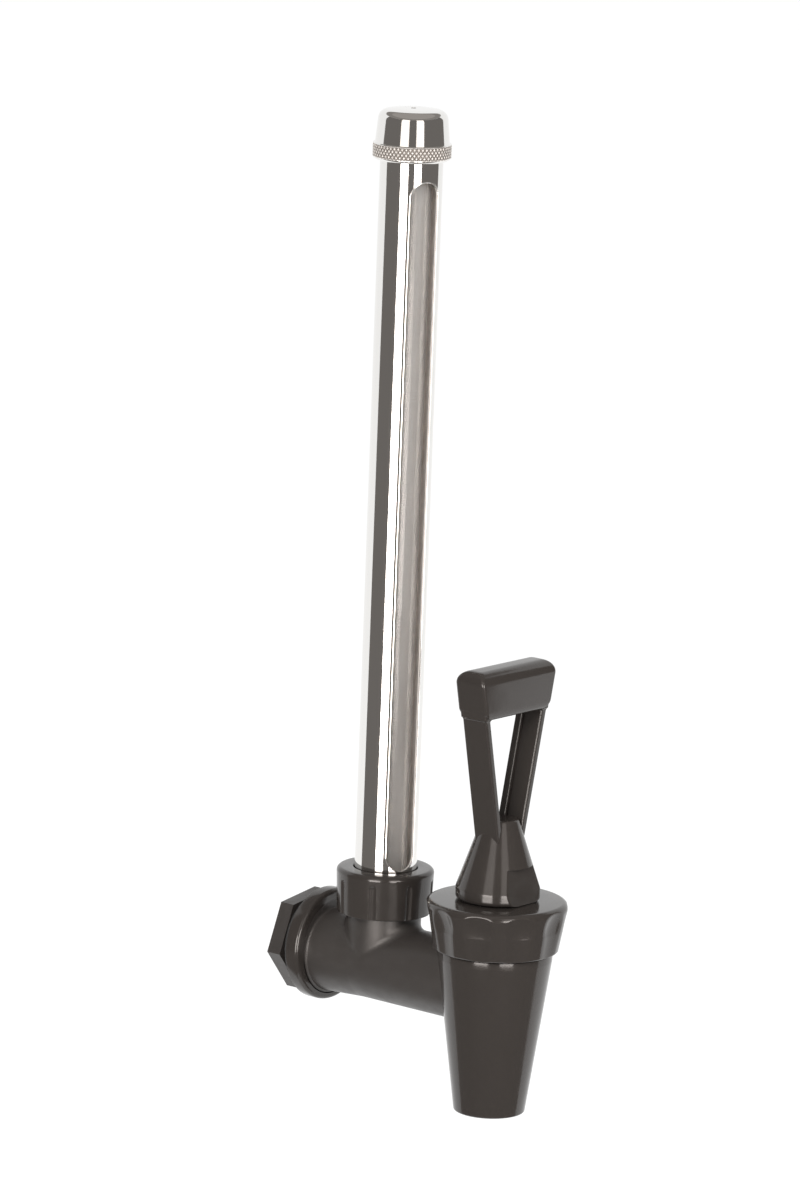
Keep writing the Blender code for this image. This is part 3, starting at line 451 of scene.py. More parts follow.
flange = rounded(
    [
        (BARREL_ROOT + 1.1, FLANGE_FRONT, 0.0),
        (FLANGE_RADIUS, FLANGE_FRONT, 1.3),
        (FLANGE_RADIUS, 0.0, 0.15),
        (SHANK_RADIUS, 0.0, 0.0),
        (SHANK_RADIUS, SHANK_ROOT, 0.0),
    ]
)
thread_reach = np.arange(THREAD_ROWS_START, SHANK_END - SHANK_CHAMFER, THREAD_ROW_STEP)
thread = np.stack((np.full_like(thread_reach, SHANK_RADIUS), thread_reach), axis=-1)
shank_end = rounded(
    [
        (SHANK_RADIUS, SHANK_END - SHANK_CHAMFER, 0.0),
        (SHANK_RADIUS - SHANK_CHAMFER, SHANK_END, 0.2),
        (BORE_RADIUS, SHANK_END, 0.3),
        (BORE_RADIUS, BARREL_START, 0.0),
    ]
)
profile = np.vstack((barrel, flange, thread, shank_end))
along = profile[:, 1]
columns = 160
helix = along[:, None] / THREAD_PITCH - np.arange(columns) / columns
groove = np.clip(THREAD_FLANK * np.abs(2 * (helix % 1.0) - 1) - THREAD_CREST, 0.0, 1.0)
threaded = (along > THREAD_START) & (along < SHANK_END - SHANK_CHAMFER)
threaded &= profile[:, 0] > SHANK_RADIUS - 0.1
radius = profile[:, 0, None] - np.where(threaded[:, None], THREAD_DEPTH * groove, 0.0)

# The turned form is laid over, so that its axis runs back to the vessel's wall.
points = turned(radius, along, columns)
points = np.stack((points[..., 0], points[..., 2], -points[..., 1]), axis=-1)
points[: len(barrel), :, 2] += BARREL_AXIS
narrowing = (HOUSING_RADIUS - SPOUT_RADIUS) / (HOUSING_BAND - SPOUT_TIP)
for end in (0, -1):
    x, _, z = points[end].T
    wall = HOUSING_RADIUS - narrowing * np.maximum(HOUSING_BAND - z, 0.0)
    points[end, :, 1] = VALVE_Y + np.sqrt(wall**2 - x**2) - SUNK_END
barrel_piece = surface("barrel_and_shank", points, loop=True)
fit(barrel_piece, satin, "faucet", "faucet_body")
barrel_piece.data.materials.append(plastic)
on_flange = np.zeros(len(profile), np.int32)
on_flange[len(barrel) : len(barrel) + len(flange)] = 1
barrel_piece.data.polygons.foreach_set("material_index", np.repeat(on_flange, columns))

# The gauge's neck stands on the barrel, moulded in one with it. The gauge's nut screws on its top,
# and the clear tube stands in its socket. A fillet blends the two round forms.
GAUGE_Y = -24.025
NECK_RADIUS = 11.425
NECK_SHOULDER = 14.025
NECK_SCREW = 10.925
NECK_TOP = 21.125
TUBE_SOCKET = 6.65
TUBE_SOCKET_FLOOR = 17.525
NECK_BORE = 4.6
FILLET = 3.0
neck = rounded(
    [
        (NECK_RADIUS, 0.0, 0.0),
        (NECK_RADIUS, NECK_SHOULDER, 0.3),
        (NECK_SCREW, NECK_SHOULDER, 0.0),
        (NECK_SCREW, NECK_TOP, 0.3),
        (TUBE_SOCKET, NECK_TOP, 0.2),
        (TUBE_SOCKET, TUBE_SOCKET_FLOOR, 0.0),
        (NECK_BORE, TUBE_SOCKET_FLOOR, 0.2),
        (NECK_BORE, 0.0, 0.0),
    ]
)
points = turned(neck[:, 0], neck[:, 1], columns=160, middle_y=GAUGE_Y)
for end in (0, -1):
    barrel_top = np.sqrt(BARREL_RADIUS**2 - points[end, :, 0] ** 2)
    points[end, :, 2] = BARREL_AXIS + barrel_top - SUNK_END
fit(surface("gauge_neck", points, loop=True), satin, "faucet", "faucet_body")


def saddle(post_radius, pipe_radius, ball, columns, steps):
    """The fillet that a ball leaves as it rolls round a post on a pipe. The ball's centre stays
    one ball from both: at post radius + ball from the post's axis, and pipe radius + ball from the
    pipe's. Each section is the arc between its two touching points, closed inside both walls."""
    around = np.arange(columns) * math.tau / columns
    outward = np.stack((np.cos(around), np.sin(around), np.zeros(columns)), axis=-1)
    centre = outward * (post_radius + ball)
    centre[:, 2] = np.sqrt((pipe_radius + ball) ** 2 - centre[:, 0] ** 2)
    down = centre * [-1.0, 0.0, -1.0]
    down /= np.linalg.norm(down, axis=-1, keepdims=True)
    opening = np.arccos((-outward * down).sum(axis=-1))[:, None]
    share = np.linspace(1.0, 0.0, steps + 1)[:, None, None]
    arc = np.sin((1 - share) * opening) * -outward + np.sin(share * opening) * down
    rows = centre + ball * (arc / np.sin(opening))
    in_post = rows[-1:] - outward * ball
    in_pipe = rows[:1] - outward * ball + down * ball / 2
    return np.concatenate((rows, in_post, in_pipe))


points = saddle(NECK_RADIUS, BARREL_RADIUS, FILLET, columns=160, steps=10)
points += [0.0, GAUGE_Y, BARREL_AXIS]
fit(surface("neck_fillet", points, loop=True), satin, "faucet", "faucet_body")

# A flat washer, cut from sheet rubber, lies behind the flange. The two ring gaskets of the gauge
# are of the same rubber. A moulded hexagon nut draws the shank up in the vessel's wall. All four
# have the CAD's own shapes.
rubber, tree, shader = finish(
    "cut_rubber", (0.022, 0.022, 0.022), low=0.6, high=0.85, scale=500.0, detail=4.0
)
raised(tree, shader, uneven(tree, scale=1500.0), depth=0.00003)
for name in ("wall_washer", "gauge_gasket", "cap_gasket"):
    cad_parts[name].material_slots[0].material = rubber
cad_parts["shank_nut"].material_slots[0].material = satin


# The gauge's nut is a round grip, moulded in the same black plastic. It holds the shield's collar
# down on the neck. Narrow grooves run down it, and their upper ends are round, as the mould's cores
# leave them.
def spaced(profile, pitch, beyond):
    """The same profile with more points on it, so that no two are further apart than pitch.
    Stretches that reach in to the radius beyond or less stay as they are."""
    parts = []
    for start, end in zip(profile, profile[1:]):
        fine = min(start[0], end[0]) > beyond
        count = max(1, math.ceil(np.linalg.norm(end - start) / pitch)) if fine else 1
        parts.append(start + (end - start) * np.arange(count)[:, None] / count)
    return np.vstack((*parts, profile[-1:]))


def smaller(first, second, soft):
    """The smaller of two radii. Where they differ by less than soft, the corner between them is
    rounded: it is less by (soft - difference) squared over 4 soft."""
    near = np.maximum(soft - np.abs(first - second), 0.0) / soft
    return np.minimum(first, second) - near**2 * soft / 4


def grooved(profile, columns, count, turn, size, depth, rim, foot, top, bottom, gap, soft):
    """Radius over profile rows and columns round. A groove is a round bar of radius size, laid
    depth deep in the grip's taper, and its ball's end runs out one gap below the top. Its radius
    is c cos f - sqrt(size^2 - rise^2 - (c sin f)^2), where c is the bar's distance from the axis,
    f the angle from the bar, and rise the height over the ball's middle. The smaller of this and
    the profile's own radius holds."""
    around = np.arange(columns) * math.tau / columns
    off = (around - turn + math.pi / count) % (math.tau / count) - math.pi / count
    height = profile[:, 1, None]
    end = top - gap - math.sqrt(2 * size * depth - depth**2)
    held = np.minimum(height, end)
    distance = rim - (top - held) * (rim - foot) / (top - bottom) - depth + size
    rise = np.maximum(height - end, 0.0)
    inside = size**2 - rise**2 - (distance * np.sin(off)) ** 2
    cut = distance * np.cos(off) - np.sqrt(np.maximum(inside, 0.0))
    return smaller(np.where(inside > 0.0, cut, 1e3), profile[:, 0, None], soft)


NUT_FOOT = 14.325
NUT_TOP = 28.125
NUT_FOOT_RADIUS = 14.41
NUT_TOP_RADIUS = 14.93
NUT_BORE = 11.225
NUT_CEILING = 24.825
SHIELD_HOLE = 9.825
nut = rounded(
    [
        (NUT_BORE, NUT_FOOT, 0.0),
        (NUT_FOOT_RADIUS, NUT_FOOT, 0.3),
        (NUT_TOP_RADIUS, NUT_TOP, 1.4),
        (SHIELD_HOLE, NUT_TOP, 0.25),
        (SHIELD_HOLE, NUT_CEILING, 0.0),
        (NUT_BORE, NUT_CEILING, 0.0),
        (NUT_BORE, NUT_FOOT, 0.0),
    ],
    steps=8,
)[:-1]
nut = spaced(nut, pitch=0.25, beyond=12.5)
columns = 640
radius = grooved(
    nut,
    columns,
    count=8,
    turn=math.radians(25),
    size=1.5,
    depth=0.55,
    rim=14.925,
    foot=14.425,
    top=NUT_TOP,
    bottom=NUT_FOOT,
    gap=3.0,
    soft=0.12,
)
points = turned(radius, nut[:, 1], columns, GAUGE_Y)
fit(surface("gauge_nut_grip", points, loop=True), plastic, "faucet", "gauge_nut")

# The bonnet is a wider grip of the same plastic, screwed on the valve's housing. It narrows
# downwards, with ten shallow scallops, and a sleeve under its top guides the stem.
BONNET_FOOT = 10.925
BONNET_TOP = 26.125
BONNET_FOOT_RADIUS = 19.03
BONNET_TOP_RADIUS = 21.88
BONNET_BORE = 17.4
BONNET_CEILING = 22.825
STEM_HOLE = 3.5
GUIDE_WALL = 1.0
GUIDE_LENGTH = 5.0
bonnet = rounded(
    [
        (BONNET_BORE, BONNET_FOOT, 0.0),
        (BONNET_FOOT_RADIUS, BONNET_FOOT, 0.9),
        (BONNET_TOP_RADIUS, BONNET_TOP, 1.9),
        (STEM_HOLE, BONNET_TOP, 0.4),
        (STEM_HOLE, BONNET_CEILING - GUIDE_LENGTH, 0.0),
        (STEM_HOLE + GUIDE_WALL, BONNET_CEILING - GUIDE_LENGTH, 0.0),
        (STEM_HOLE + GUIDE_WALL, BONNET_CEILING, 0.0),
        (BONNET_BORE, BONNET_CEILING, 0.0),
        (BONNET_BORE, BONNET_FOOT, 0.0),
    ],
    steps=10,
)[:-1]
bonnet = spaced(bonnet, pitch=0.3, beyond=17.9)
columns = 600
radius = grooved(
    bonnet,
    columns,
    count=10,
    turn=math.radians(-12.5),
    size=16.5,
    depth=0.8,
    rim=21.6,
    foot=19.2,
    top=BONNET_TOP,
    bottom=BONNET_FOOT,
    gap=3.0,
    soft=0.5,
)
points = turned(radius, bonnet[:, 1], columns, VALVE_Y)
fit(surface("bonnet_grip", points, loop=True), plastic, "faucet", "bonnet")

# The gauge's shield is a brass tube, bright chromed outside and dull inside. Its collar stands on a
# gasket on the neck. A long slot with round ends is milled in it, and the cutter leaves fine ticks
# on the slot's right edge.
chrome, tree, shader = finish(
    "polished_chrome",
    (0.82, 0.81, 0.79),
    low=0.04,
    high=0.08,
    scale=300.0,
    stretch=(1.0, 1.0, 0.15),
)
shader.inputs["Metallic"].default_value = 1.0
waves = uneven(tree, scale=90.0, detail=2.0, stretch=(1.0, 1.0, 0.1))
raised(tree, shader, waves, depth=0.000003)
bare, _, _ = finish(
    "unpolished_inside",
    (0.92, 0.86, 0.81),
    low=0.3,
    high=0.45,
    scale=600.0,
    stretch=(1.0, 1.0, 0.2),
)
SHIELD_RADIUS = 9.525
SHIELD_WALL = 0.9
COLLAR_RADIUS = 10.625
COLLAR_TOP = 24.525
SHIELD_FOOT = 23.225
SHIELD_TOP = 251.125
SLOT_FOOT = 28.525
SLOT_TOP = 239.425
SLOT_HALF = 4.75
SLOT_BEARING = math.radians(-110)


def slot_reach(height):
    """Half the slot's width at a height: full between its round ends, and half a circle's chord
    in them, which is the root of its radius squared less the height from its middle squared."""
    low = np.clip(SLOT_FOOT + SLOT_HALF - height, 0.0, SLOT_HALF)
    high = np.clip(height - SLOT_TOP + SLOT_HALF, 0.0, SLOT_HALF)
    return np.sqrt(np.maximum(SLOT_HALF**2 - np.maximum(low, high) ** 2, 0.0))


chord = SLOT_HALF * (1 - np.cos(np.linspace(0.0, math.pi / 2, 25)))
levels = np.concatenate(
    (
        [SHIELD_FOOT, SHIELD_FOOT, COLLAR_TOP, COLLAR_TOP],
        SLOT_FOOT + chord,
        np.linspace(SLOT_FOOT + SLOT_HALF, SLOT_TOP - SLOT_HALF, 40)[1:-1],
        SLOT_TOP - chord[::-1],
        [SHIELD_TOP, SHIELD_TOP],
    )
)
outer = np.full_like(levels, SHIELD_RADIUS)
outer[1:3] = COLLAR_RADIUS
outer[[0, -1]] = SHIELD_RADIUS - SHIELD_WALL / 2
inner = np.full_like(levels, SHIELD_RADIUS - SHIELD_WALL)
inner[[0, -1]] = SHIELD_RADIUS - SHIELD_WALL / 2

# Each row goes round outside from one side of the slot to the other, and then back inside.
share = np.linspace(0.0, 1.0, 161)
walls = []
for wall in (outer, inner):
    half = np.arcsin(np.clip(slot_reach(levels) / wall, 0.0, 1.0))[:, None]
    bearing = SLOT_BEARING + half + (math.tau - 2 * half) * share
    x = wall[:, None] * np.cos(bearing)
    y = wall[:, None] * np.sin(bearing) + GAUGE_Y
    walls.append(np.stack((x, y, np.broadcast_to(levels[:, None], x.shape)), axis=-1))
points = np.concatenate((walls[0], walls[1][:, ::-1]), axis=1)
shield = surface("gauge_shield_wall", points)
fit(shield, chrome, "faucet", "gauge_shield")
shield.data.materials.append(bare)
column = np.arange(len(shield.data.polygons)) % points.shape[1]
shield.data.polygons.foreach_set("material_index", (column >= len(share)).astype(np.int32))

EDGE_ROUND = 0.3
EDGE_INSET = 0.12
EDGE_SUNK = 0.25
EDGE_SIDES = 10
TICK_PITCH = 0.62
TICK_DEPTH = 0.07
SAMPLES_PER_TICK = 4


def slot_edge():
    """A bead along the slot's outline: up its right side, round the top, down the left side and
    round the foot. Its section is a small circle, which on the right side swells by a cosine once
    for each tick of the cutter. Across the slot it is placed as the wall is, at
    arcsin(reach / radius) from the slot's middle."""
    straight = SLOT_TOP - SLOT_FOOT - 2 * SLOT_HALF
    turn_length = math.pi * SLOT_HALF
    length = 2 * (straight + turn_length)
    ticks = round(length / TICK_PITCH)
    count = ticks * SAMPLES_PER_TICK
    along = np.arange(count)[:, None] * length / count
    top_turn = np.clip(along - straight, 0.0, turn_length)
    foot_turn = np.clip(along - 2 * straight - turn_length, 0.0, turn_length)
    turn = (top_turn + foot_turn) / SLOT_HALF
    down = np.clip(along - straight - turn_length, 0.0, straight)
    centre = np.clip(along, 0.0, straight) - down
    spin = np.arange(EDGE_SIDES) * math.tau / EDGE_SIDES
    swell = TICK_DEPTH * np.clip(np.cos(turn), 0.0, 1.0)
    size = EDGE_ROUND + swell * np.cos(math.tau * along * ticks / length)
    reach = SLOT_HALF + EDGE_INSET - size * np.cos(spin)
    wall = SHIELD_RADIUS - EDGE_SUNK + EDGE_ROUND * np.sin(spin) + 0 * reach
    bearing = SLOT_BEARING + np.arcsin(reach * np.cos(turn) / wall)
    height = SLOT_FOOT + SLOT_HALF + centre + reach * np.sin(turn)
    return np.stack((wall * np.cos(bearing), wall * np.sin(bearing) + GAUGE_Y, height), axis=-1)


fit(surface("slot_edge", slot_edge(), loop=True), chrome, "faucet", "gauge_shield")

# The sight tube is a clear plastic tube inside the shield. The drink rises in it, and the slot
# shows its level. It is extruded and cut off square.
clear, _, shader = finish(
    "clear_tube_wall",
    (0.88, 0.85, 0.82),
    low=0.16,
    high=0.26,
    scale=200.0,
    stretch=(1.0, 1.0, 0.1),
)
shader.inputs["Transmission Weight"].default_value = 0.85
shader.inputs["IOR"].default_value = 1.49
TUBE_RADIUS = 6.35
TUBE_WALL = 1.6
TUBE_FOOT = 17.825
TUBE_TOP = 254.625
tube = rounded(
    [
        (TUBE_RADIUS - TUBE_WALL, TUBE_FOOT, 0.0),
        (TUBE_RADIUS, TUBE_FOOT, 0.2),
        (TUBE_RADIUS, TUBE_TOP, 0.2),
        (TUBE_RADIUS - TUBE_WALL, TUBE_TOP, 0.2),
        (TUBE_RADIUS - TUBE_WALL, TUBE_FOOT, 0.0),
    ],
    steps=4,
)[:-1]
points = turned(tube[:, 0], tube[:, 1], columns=128, middle_y=GAUGE_Y)
fit(surface("sight_tube_wall", points, loop=True), clear, "faucet", "sight_tube")

# The cap is turned from brass and chromed, and screws on the shield. Crossed knurling is rolled on
# its band, and fades out at the band's rounded edges. On the band the metal is duller, and painted
# shade darkens it in the knurl's grooves, the more the deeper they are. The domed top has a small
# hole that lets air in as the level falls.
CAP_FOOT = 245.125
BAND_TOP = 250.225
BAND_RADIUS = 11.8
CAP_WAIST = 11.2
CAP_RIM = 10.3
CAP_RIM_LEVEL = 259.85
CROWN = 260.525
CROWN_EDGE = 5.0
CROWN_RISE = 0.12
VENT_RADIUS = 0.8
VENT_DEPTH = 1.4
CAP_SEAT = 253.625
CAP_BORE = 8.3
CAP_BORE_TOP = 256.9
CAP_CEILING_RADIUS = 5.9
CAP_CROWN_WALL = 1.9
BAND_EDGE = 0.25
KNURL_COUNT = 58
KNURL_DEPTH = 0.3
KNURL_CLIMB = 0.75
KNURL_CREST = 0.14
KNURL_FLANK = 0.26
KNURL_START = 0.9
KNURL_START_FADE = 0.3
KNURL_END = 0.25
KNURL_END_FADE = 0.2
# The crest colour of the knurled band, and the painted shade colour of its grooves.
KNURL_BRIGHT = (0.7, 0.66, 0.62)
KNURL_PAINTED_SHADE = (0.12, 0.1, 0.085)
cap = rounded(
    [
        (SHIELD_HOLE, CAP_FOOT, 0.0),
        (BAND_RADIUS, CAP_FOOT, 1.2),
        (BAND_RADIUS, BAND_TOP, 0.3),
        (CAP_WAIST, BAND_TOP, 0.15),
        (CAP_RIM, CAP_RIM_LEVEL, 2.9),
        (CROWN_EDGE, CROWN - CROWN_RISE, 12.0),
        (VENT_RADIUS, CROWN, 0.15),
        (VENT_RADIUS, CROWN - VENT_DEPTH, 0.0),
        (CAP_CEILING_RADIUS, CROWN - CAP_CROWN_WALL, 0.0),
        (CAP_BORE, CAP_BORE_TOP, 0.0),
        (CAP_BORE, CAP_SEAT, 0.0),
        (SHIELD_HOLE, CAP_SEAT, 0.0),
        (SHIELD_HOLE, CAP_FOOT, 0.0),
    ],
    steps=10,
)[:-1]
cap = spaced(cap, pitch=0.16, beyond=11.0)
columns = KNURL_COUNT * 8
around = np.arange(columns) * KNURL_COUNT / columns
climb = (cap[:, 1, None] - CAP_FOOT) * KNURL_CLIMB * KNURL_COUNT / (math.tau * BAND_RADIUS)
rising = np.abs(((around + climb) % 1.0) - 0.5)
falling = np.abs(((around - climb) % 1.0) - 0.5)
on_band = np.clip((cap[:, 0] - BAND_RADIUS + BAND_EDGE) / BAND_EDGE, 0.0, 1.0)
on_band *= np.clip((cap[:, 1] - CAP_FOOT - KNURL_START) / KNURL_START_FADE, 0.0, 1.0)
on_band *= np.clip((BAND_TOP - KNURL_END - cap[:, 1]) / KNURL_END_FADE, 0.0, 1.0)
crossed = np.clip((np.maximum(rising, falling) - KNURL_CREST) / KNURL_FLANK, 0.0, 1.0)
groove = on_band[:, None] * crossed
points = turned(cap[:, 0, None] - KNURL_DEPTH * groove, cap[:, 1], columns, GAUGE_Y)
cap_piece = surface("knurled_cap", points, loop=True)
fit(cap_piece, chrome, "cap", "gauge_cap")
# The band's finish: its colour goes from the crests' own to painted shade with the groove's depth.
knurl_painted_shade, tree, shader = finish("knurl_with_painted_groove_shade", KNURL_BRIGHT, low=0.4, high=0.55, scale=900.0)
shader.inputs["Metallic"].default_value = 0.25
depth = tree.nodes.new("ShaderNodeAttribute")
depth.attribute_name = "groove"
shade = tree.nodes.new("ShaderNodeMix")
shade.data_type = "RGBA"
shade.inputs["A"].default_value = (*KNURL_BRIGHT, 1.0)
shade.inputs["B"].default_value = (*KNURL_PAINTED_SHADE, 1.0)
tree.links.new(depth.outputs["Fac"], shade.inputs["Factor"])
tree.links.new(shade.outputs["Result"], shader.inputs["Base Color"])
cap_piece.data.materials.append(knurl_painted_shade)
# Each point's groove depth, which the band's finish uses to paint shade into the grooves.
cap_piece.data.attributes.new("groove", "FLOAT", "POINT").data.foreach_set("value", groove.ravel())
rolled = np.repeat(on_band > 0.0, columns).astype(np.int32)
cap_piece.data.polygons.foreach_set("material_index", rolled)

# The seat cup inside the valve is moulded in silicone. The bonnet clamps its brim. Its solid foot
# holds the stem's button, shuts the port and moves with the stem, and in use the thin sleeve
# between foot and brim gets shorter. Here both pieces keep their shape and are fixed to the valve's
# body.
silicone, tree, shader = finish(
    "moulded_silicone", (0.62, 0.61, 0.56), low=0.4, high=0.6, scale=300.0
)
shader.inputs["Subsurface Weight"].default_value = 0.2
shader.inputs["Subsurface Scale"].default_value = 0.003
raised(tree, shader, uneven(tree, scale=700.0), depth=0.00002)
CUP_FOOT = -13.1
CUP_FOOT_RADIUS = 4.0
CUP_CONE_TOP = -7.48
CUP_RADIUS = 9.4
CUP_BORE = 8.0
CUP_FLOOR = 0.5
CUP_RIM = 1.5
CUP_BRIM_TOP = 22.525
BRIM_RADIUS = 16.4
BRIM_FOOT = 21.325
ROD_HOLE = 3.0
BUTTON_SOCKET = 4.5
BUTTON_TOP = -2.0
BUTTON_FOOT = -6.0
POLE_RADIUS = 0.5
cup = rounded(
    [
        (POLE_RADIUS, CUP_FOOT, 0.0),
        (CUP_FOOT_RADIUS, CUP_FOOT, 0.6),
        (CUP_RADIUS, CUP_CONE_TOP, 1.0),
        (CUP_RADIUS, CUP_RIM, 0.0),
        (CUP_BORE, CUP_RIM, 0.0),
        (CUP_BORE, CUP_FLOOR, 0.6),
        (ROD_HOLE, CUP_FLOOR, 0.3),
        (ROD_HOLE, BUTTON_TOP, 0.0),
        (BUTTON_SOCKET, BUTTON_TOP, 0.0),
        (BUTTON_SOCKET, BUTTON_FOOT, 0.0),
        (POLE_RADIUS, BUTTON_FOOT, 0.0),
    ]
)
points = turned(cup[:, 0], cup[:, 1], columns=128, middle_y=VALVE_Y)
poles = [(0.0, VALVE_Y, CUP_FOOT), (0.0, VALVE_Y, BUTTON_FOOT)]
fit(surface("seat_cup_foot", points, poles=poles), silicone, "valve", "seat_cup")
LAP = 0.5
sleeve = rounded(
    [
        (CUP_BORE + LAP, CUP_RIM - LAP, 0.0),
        (CUP_RADIUS - LAP, CUP_RIM - LAP, 0.0),
        (CUP_RADIUS, CUP_RIM, 0.0),
        (CUP_RADIUS, BRIM_FOOT, 0.5),
        (BRIM_RADIUS, BRIM_FOOT, 0.3),
        (BRIM_RADIUS, CUP_BRIM_TOP, 0.3),
        (CUP_BORE, CUP_BRIM_TOP, 0.5),
        (CUP_BORE, CUP_RIM, 0.0),
        (CUP_BORE + LAP, CUP_RIM - LAP, 0.0),
    ]
)[:-1]
points = turned(sleeve[:, 0], sleeve[:, 1], columns=128, middle_y=VALVE_Y)
piece = surface("seat_cup_sleeve", points, loop=True)
fit(piece, silicone, "valve", "seat_cup")
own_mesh(piece)

# The spring is coiled from stainless wire: its round section is carried along a helix that is
# closed up at both ends. It stands in the cup under the bonnet and shuts the valve. In use its foot
# rises with the cup while its top stays, so it gets shorter; here it keeps its shape and is fixed to
# the valve's body.
steel, _, shader = finish(
    "drawn_steel_wire",
    (0.55, 0.55, 0.55),
    low=0.22,
    high=0.4,
    scale=2500.0,
    stretch=(1.0, 1.0, 0.3),
)
shader.inputs["Metallic"].default_value = 1.0
SPRING_FOOT = 2.9
SPRING_TOP = 22.425
COIL_RADIUS = 5.4
WIRE_RADIUS = 0.55
WIRE_SIDES = 12
COIL_TURNS = 6
END_TURNS = 0.75
END_GAP = 0.2
SAMPLES_PER_TURN = 36
turns = np.linspace(0.0, COIL_TURNS, SAMPLES_PER_TURN * COIL_TURNS + 1)[:, None]
live = np.clip(turns - END_TURNS, 0.0, COIL_TURNS - 2 * END_TURNS)
closed_pitch = 2 * WIRE_RADIUS + END_GAP
closed_height = 2 * END_TURNS * closed_pitch
live_height = SPRING_TOP - SPRING_FOOT - 2 * WIRE_RADIUS - closed_height
pitch = live_height / (COIL_TURNS - 2 * END_TURNS)
spin = np.arange(WIRE_SIDES) * math.tau / WIRE_SIDES
reach = COIL_RADIUS + WIRE_RADIUS * np.cos(spin)
x = reach * np.cos(math.tau * turns)
y = reach * np.sin(math.tau * turns) + VALVE_Y
height = SPRING_FOOT + WIRE_RADIUS + live * pitch + (turns - live) * closed_pitch
points = np.stack((x, y, height - WIRE_RADIUS * np.sin(spin)), axis=-1)
poles = [points[0].mean(axis=0), points[-1].mean(axis=0)]
piece = surface("coil_spring", points, poles=poles)
fit(piece, steel, "valve", "valve_spring")
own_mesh(piece)

# The stem is a white acetal rod, moulded with a T-head that hangs in the handle and a button that
# snaps into the seat cup. It has the CAD's own shape.
acetal, tree, shader = finish(
    "moulded_acetal", (0.78, 0.78, 0.75), low=0.28, high=0.42, scale=400.0
)
raised(tree, shader, uneven(tree, scale=900.0), depth=0.00002)
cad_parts["stem"].material_slots[0].material = acetal

# The handle is one black moulding. Its base is a cone with a flat in front that it tips over on.
# Below, a keyway lets the stem's T-head into a pocket, where it hangs across the keyway. A flat
# face's radius is its distance over the cosine of the angle from it.
HANDLE_FOOT = 26.425
CONE_RADIUS = 12.75
CONE_SKIRT = 3.6
CONE_SLOPE = 0.343
CONE_HEIGHT = 24.8
CONE_MOUTH = 7.0
CONE_POLE = 0.6
FLAT_REACH = 10.9
FLAT_SLOPE = 0.234
FLAT_HEIGHT = 10.9
FLAT_SOFT = 0.15
LEDGE_STEP = 0.02
KEYWAY_HALF = 3.6
KEYWAY_FRONT = 6.95
KEYWAY_BACK = 6.2
KEYWAY_TOP = 4.4
POCKET_RADIUS = 6.6
POCKET_SHOULDER = (6.2, 7.8)
POCKET_TOP = 9.6
POCKET_CEILING = 3.8
POCKET_POLE = 0.8
columns = 320
around = np.arange(columns) * math.tau / columns
across = np.maximum(np.abs(np.cos(around)), 1e-3)
lengthwise = np.maximum(np.abs(np.sin(around)), 1e-3)
forward = np.maximum(-np.sin(around), 1e-3)
cone_top = CONE_RADIUS - CONE_SLOPE * (CONE_HEIGHT - CONE_SKIRT)
cone = rounded(
    [
        (CONE_MOUTH, 0.0, 0.0),
        (CONE_RADIUS, 0.0, 1.2),
        (CONE_RADIUS, CONE_SKIRT, 2.0),
        (cone_top, CONE_HEIGHT, 0.8),
        (CONE_POLE, CONE_HEIGHT, 0.0),
    ],
    steps=8,
)
ledge_radius = CONE_RADIUS - CONE_SLOPE * (FLAT_HEIGHT - CONE_SKIRT)
ledge_start = (ledge_radius, FLAT_HEIGHT)
ledge_end = (ledge_radius - LEDGE_STEP * CONE_SLOPE, FLAT_HEIGHT + LEDGE_STEP)
below = np.vstack((cone[cone[:, 1] < FLAT_HEIGHT], [ledge_start]))
below = spaced(below, pitch=0.4, beyond=0.0)
above = np.vstack(([ledge_end], cone[cone[:, 1] > FLAT_HEIGHT]))
above = spaced(above, pitch=0.8, beyond=0.0)
flat = (FLAT_REACH - FLAT_SLOPE * below[:, 1, None]) / forward
faced = smaller(flat, below[:, 0, None] + 0 * around, FLAT_SOFT)
keyway_depth = np.where(np.sin(around) < 0.0, KEYWAY_FRONT, KEYWAY_BACK)
keyway = np.minimum(KEYWAY_HALF / across, keyway_depth / lengthwise)
pocket = np.array(
    [
        (POCKET_POLE, POCKET_TOP),
        (POCKET_CEILING, POCKET_TOP),
        POCKET_SHOULDER,
        (POCKET_RADIUS, KEYWAY_TOP),
    ]
)
radius = np.vstack(
    (
        np.repeat(pocket[:, 0, None], columns, axis=1),
        np.minimum(keyway, POCKET_RADIUS)[None],
        keyway[None],
        faced,
        np.repeat(above[:, 0, None], columns, axis=1),
    )
)
height = np.concatenate((pocket[:, 1], [KEYWAY_TOP, 0.0], below[:, 1], above[:, 1]))
points = turned(radius, height + HANDLE_FOOT, columns, VALVE_Y)
poles = [(0.0, VALVE_Y, HANDLE_FOOT + POCKET_TOP), (0.0, VALVE_Y, HANDLE_FOOT + CONE_HEIGHT)]
fit(surface("handle_cone", points, poles=poles), plastic, "handle", "handle")


# Two flat legs rise from inside the cone and lean apart, and flare a little at the cross bar. Each
# has a low rib on its inner face, near the back. Legs and ribs are round-cornered rectangles,
# stacked by their height.
def box_ring(half_x, half_y, corner, steps):
    """Once round a rectangle with round corners: the middle of each corner plus a quarter circle.
    The half sizes and the rounding may be columns, one value for each row."""
    quarter = np.linspace(0.0, math.pi / 2, steps + 1)
    spin = (quarter[None] + np.arange(4)[:, None] * math.pi / 2).ravel()
    side_x = np.repeat([1.0, -1.0, -1.0, 1.0], steps + 1)
    side_y = np.repeat([1.0, 1.0, -1.0, -1.0], steps + 1)
    x = side_x * (half_x - corner) + corner * np.cos(spin)
    y = side_y * (half_y - corner) + corner * np.sin(spin)
    return x, y


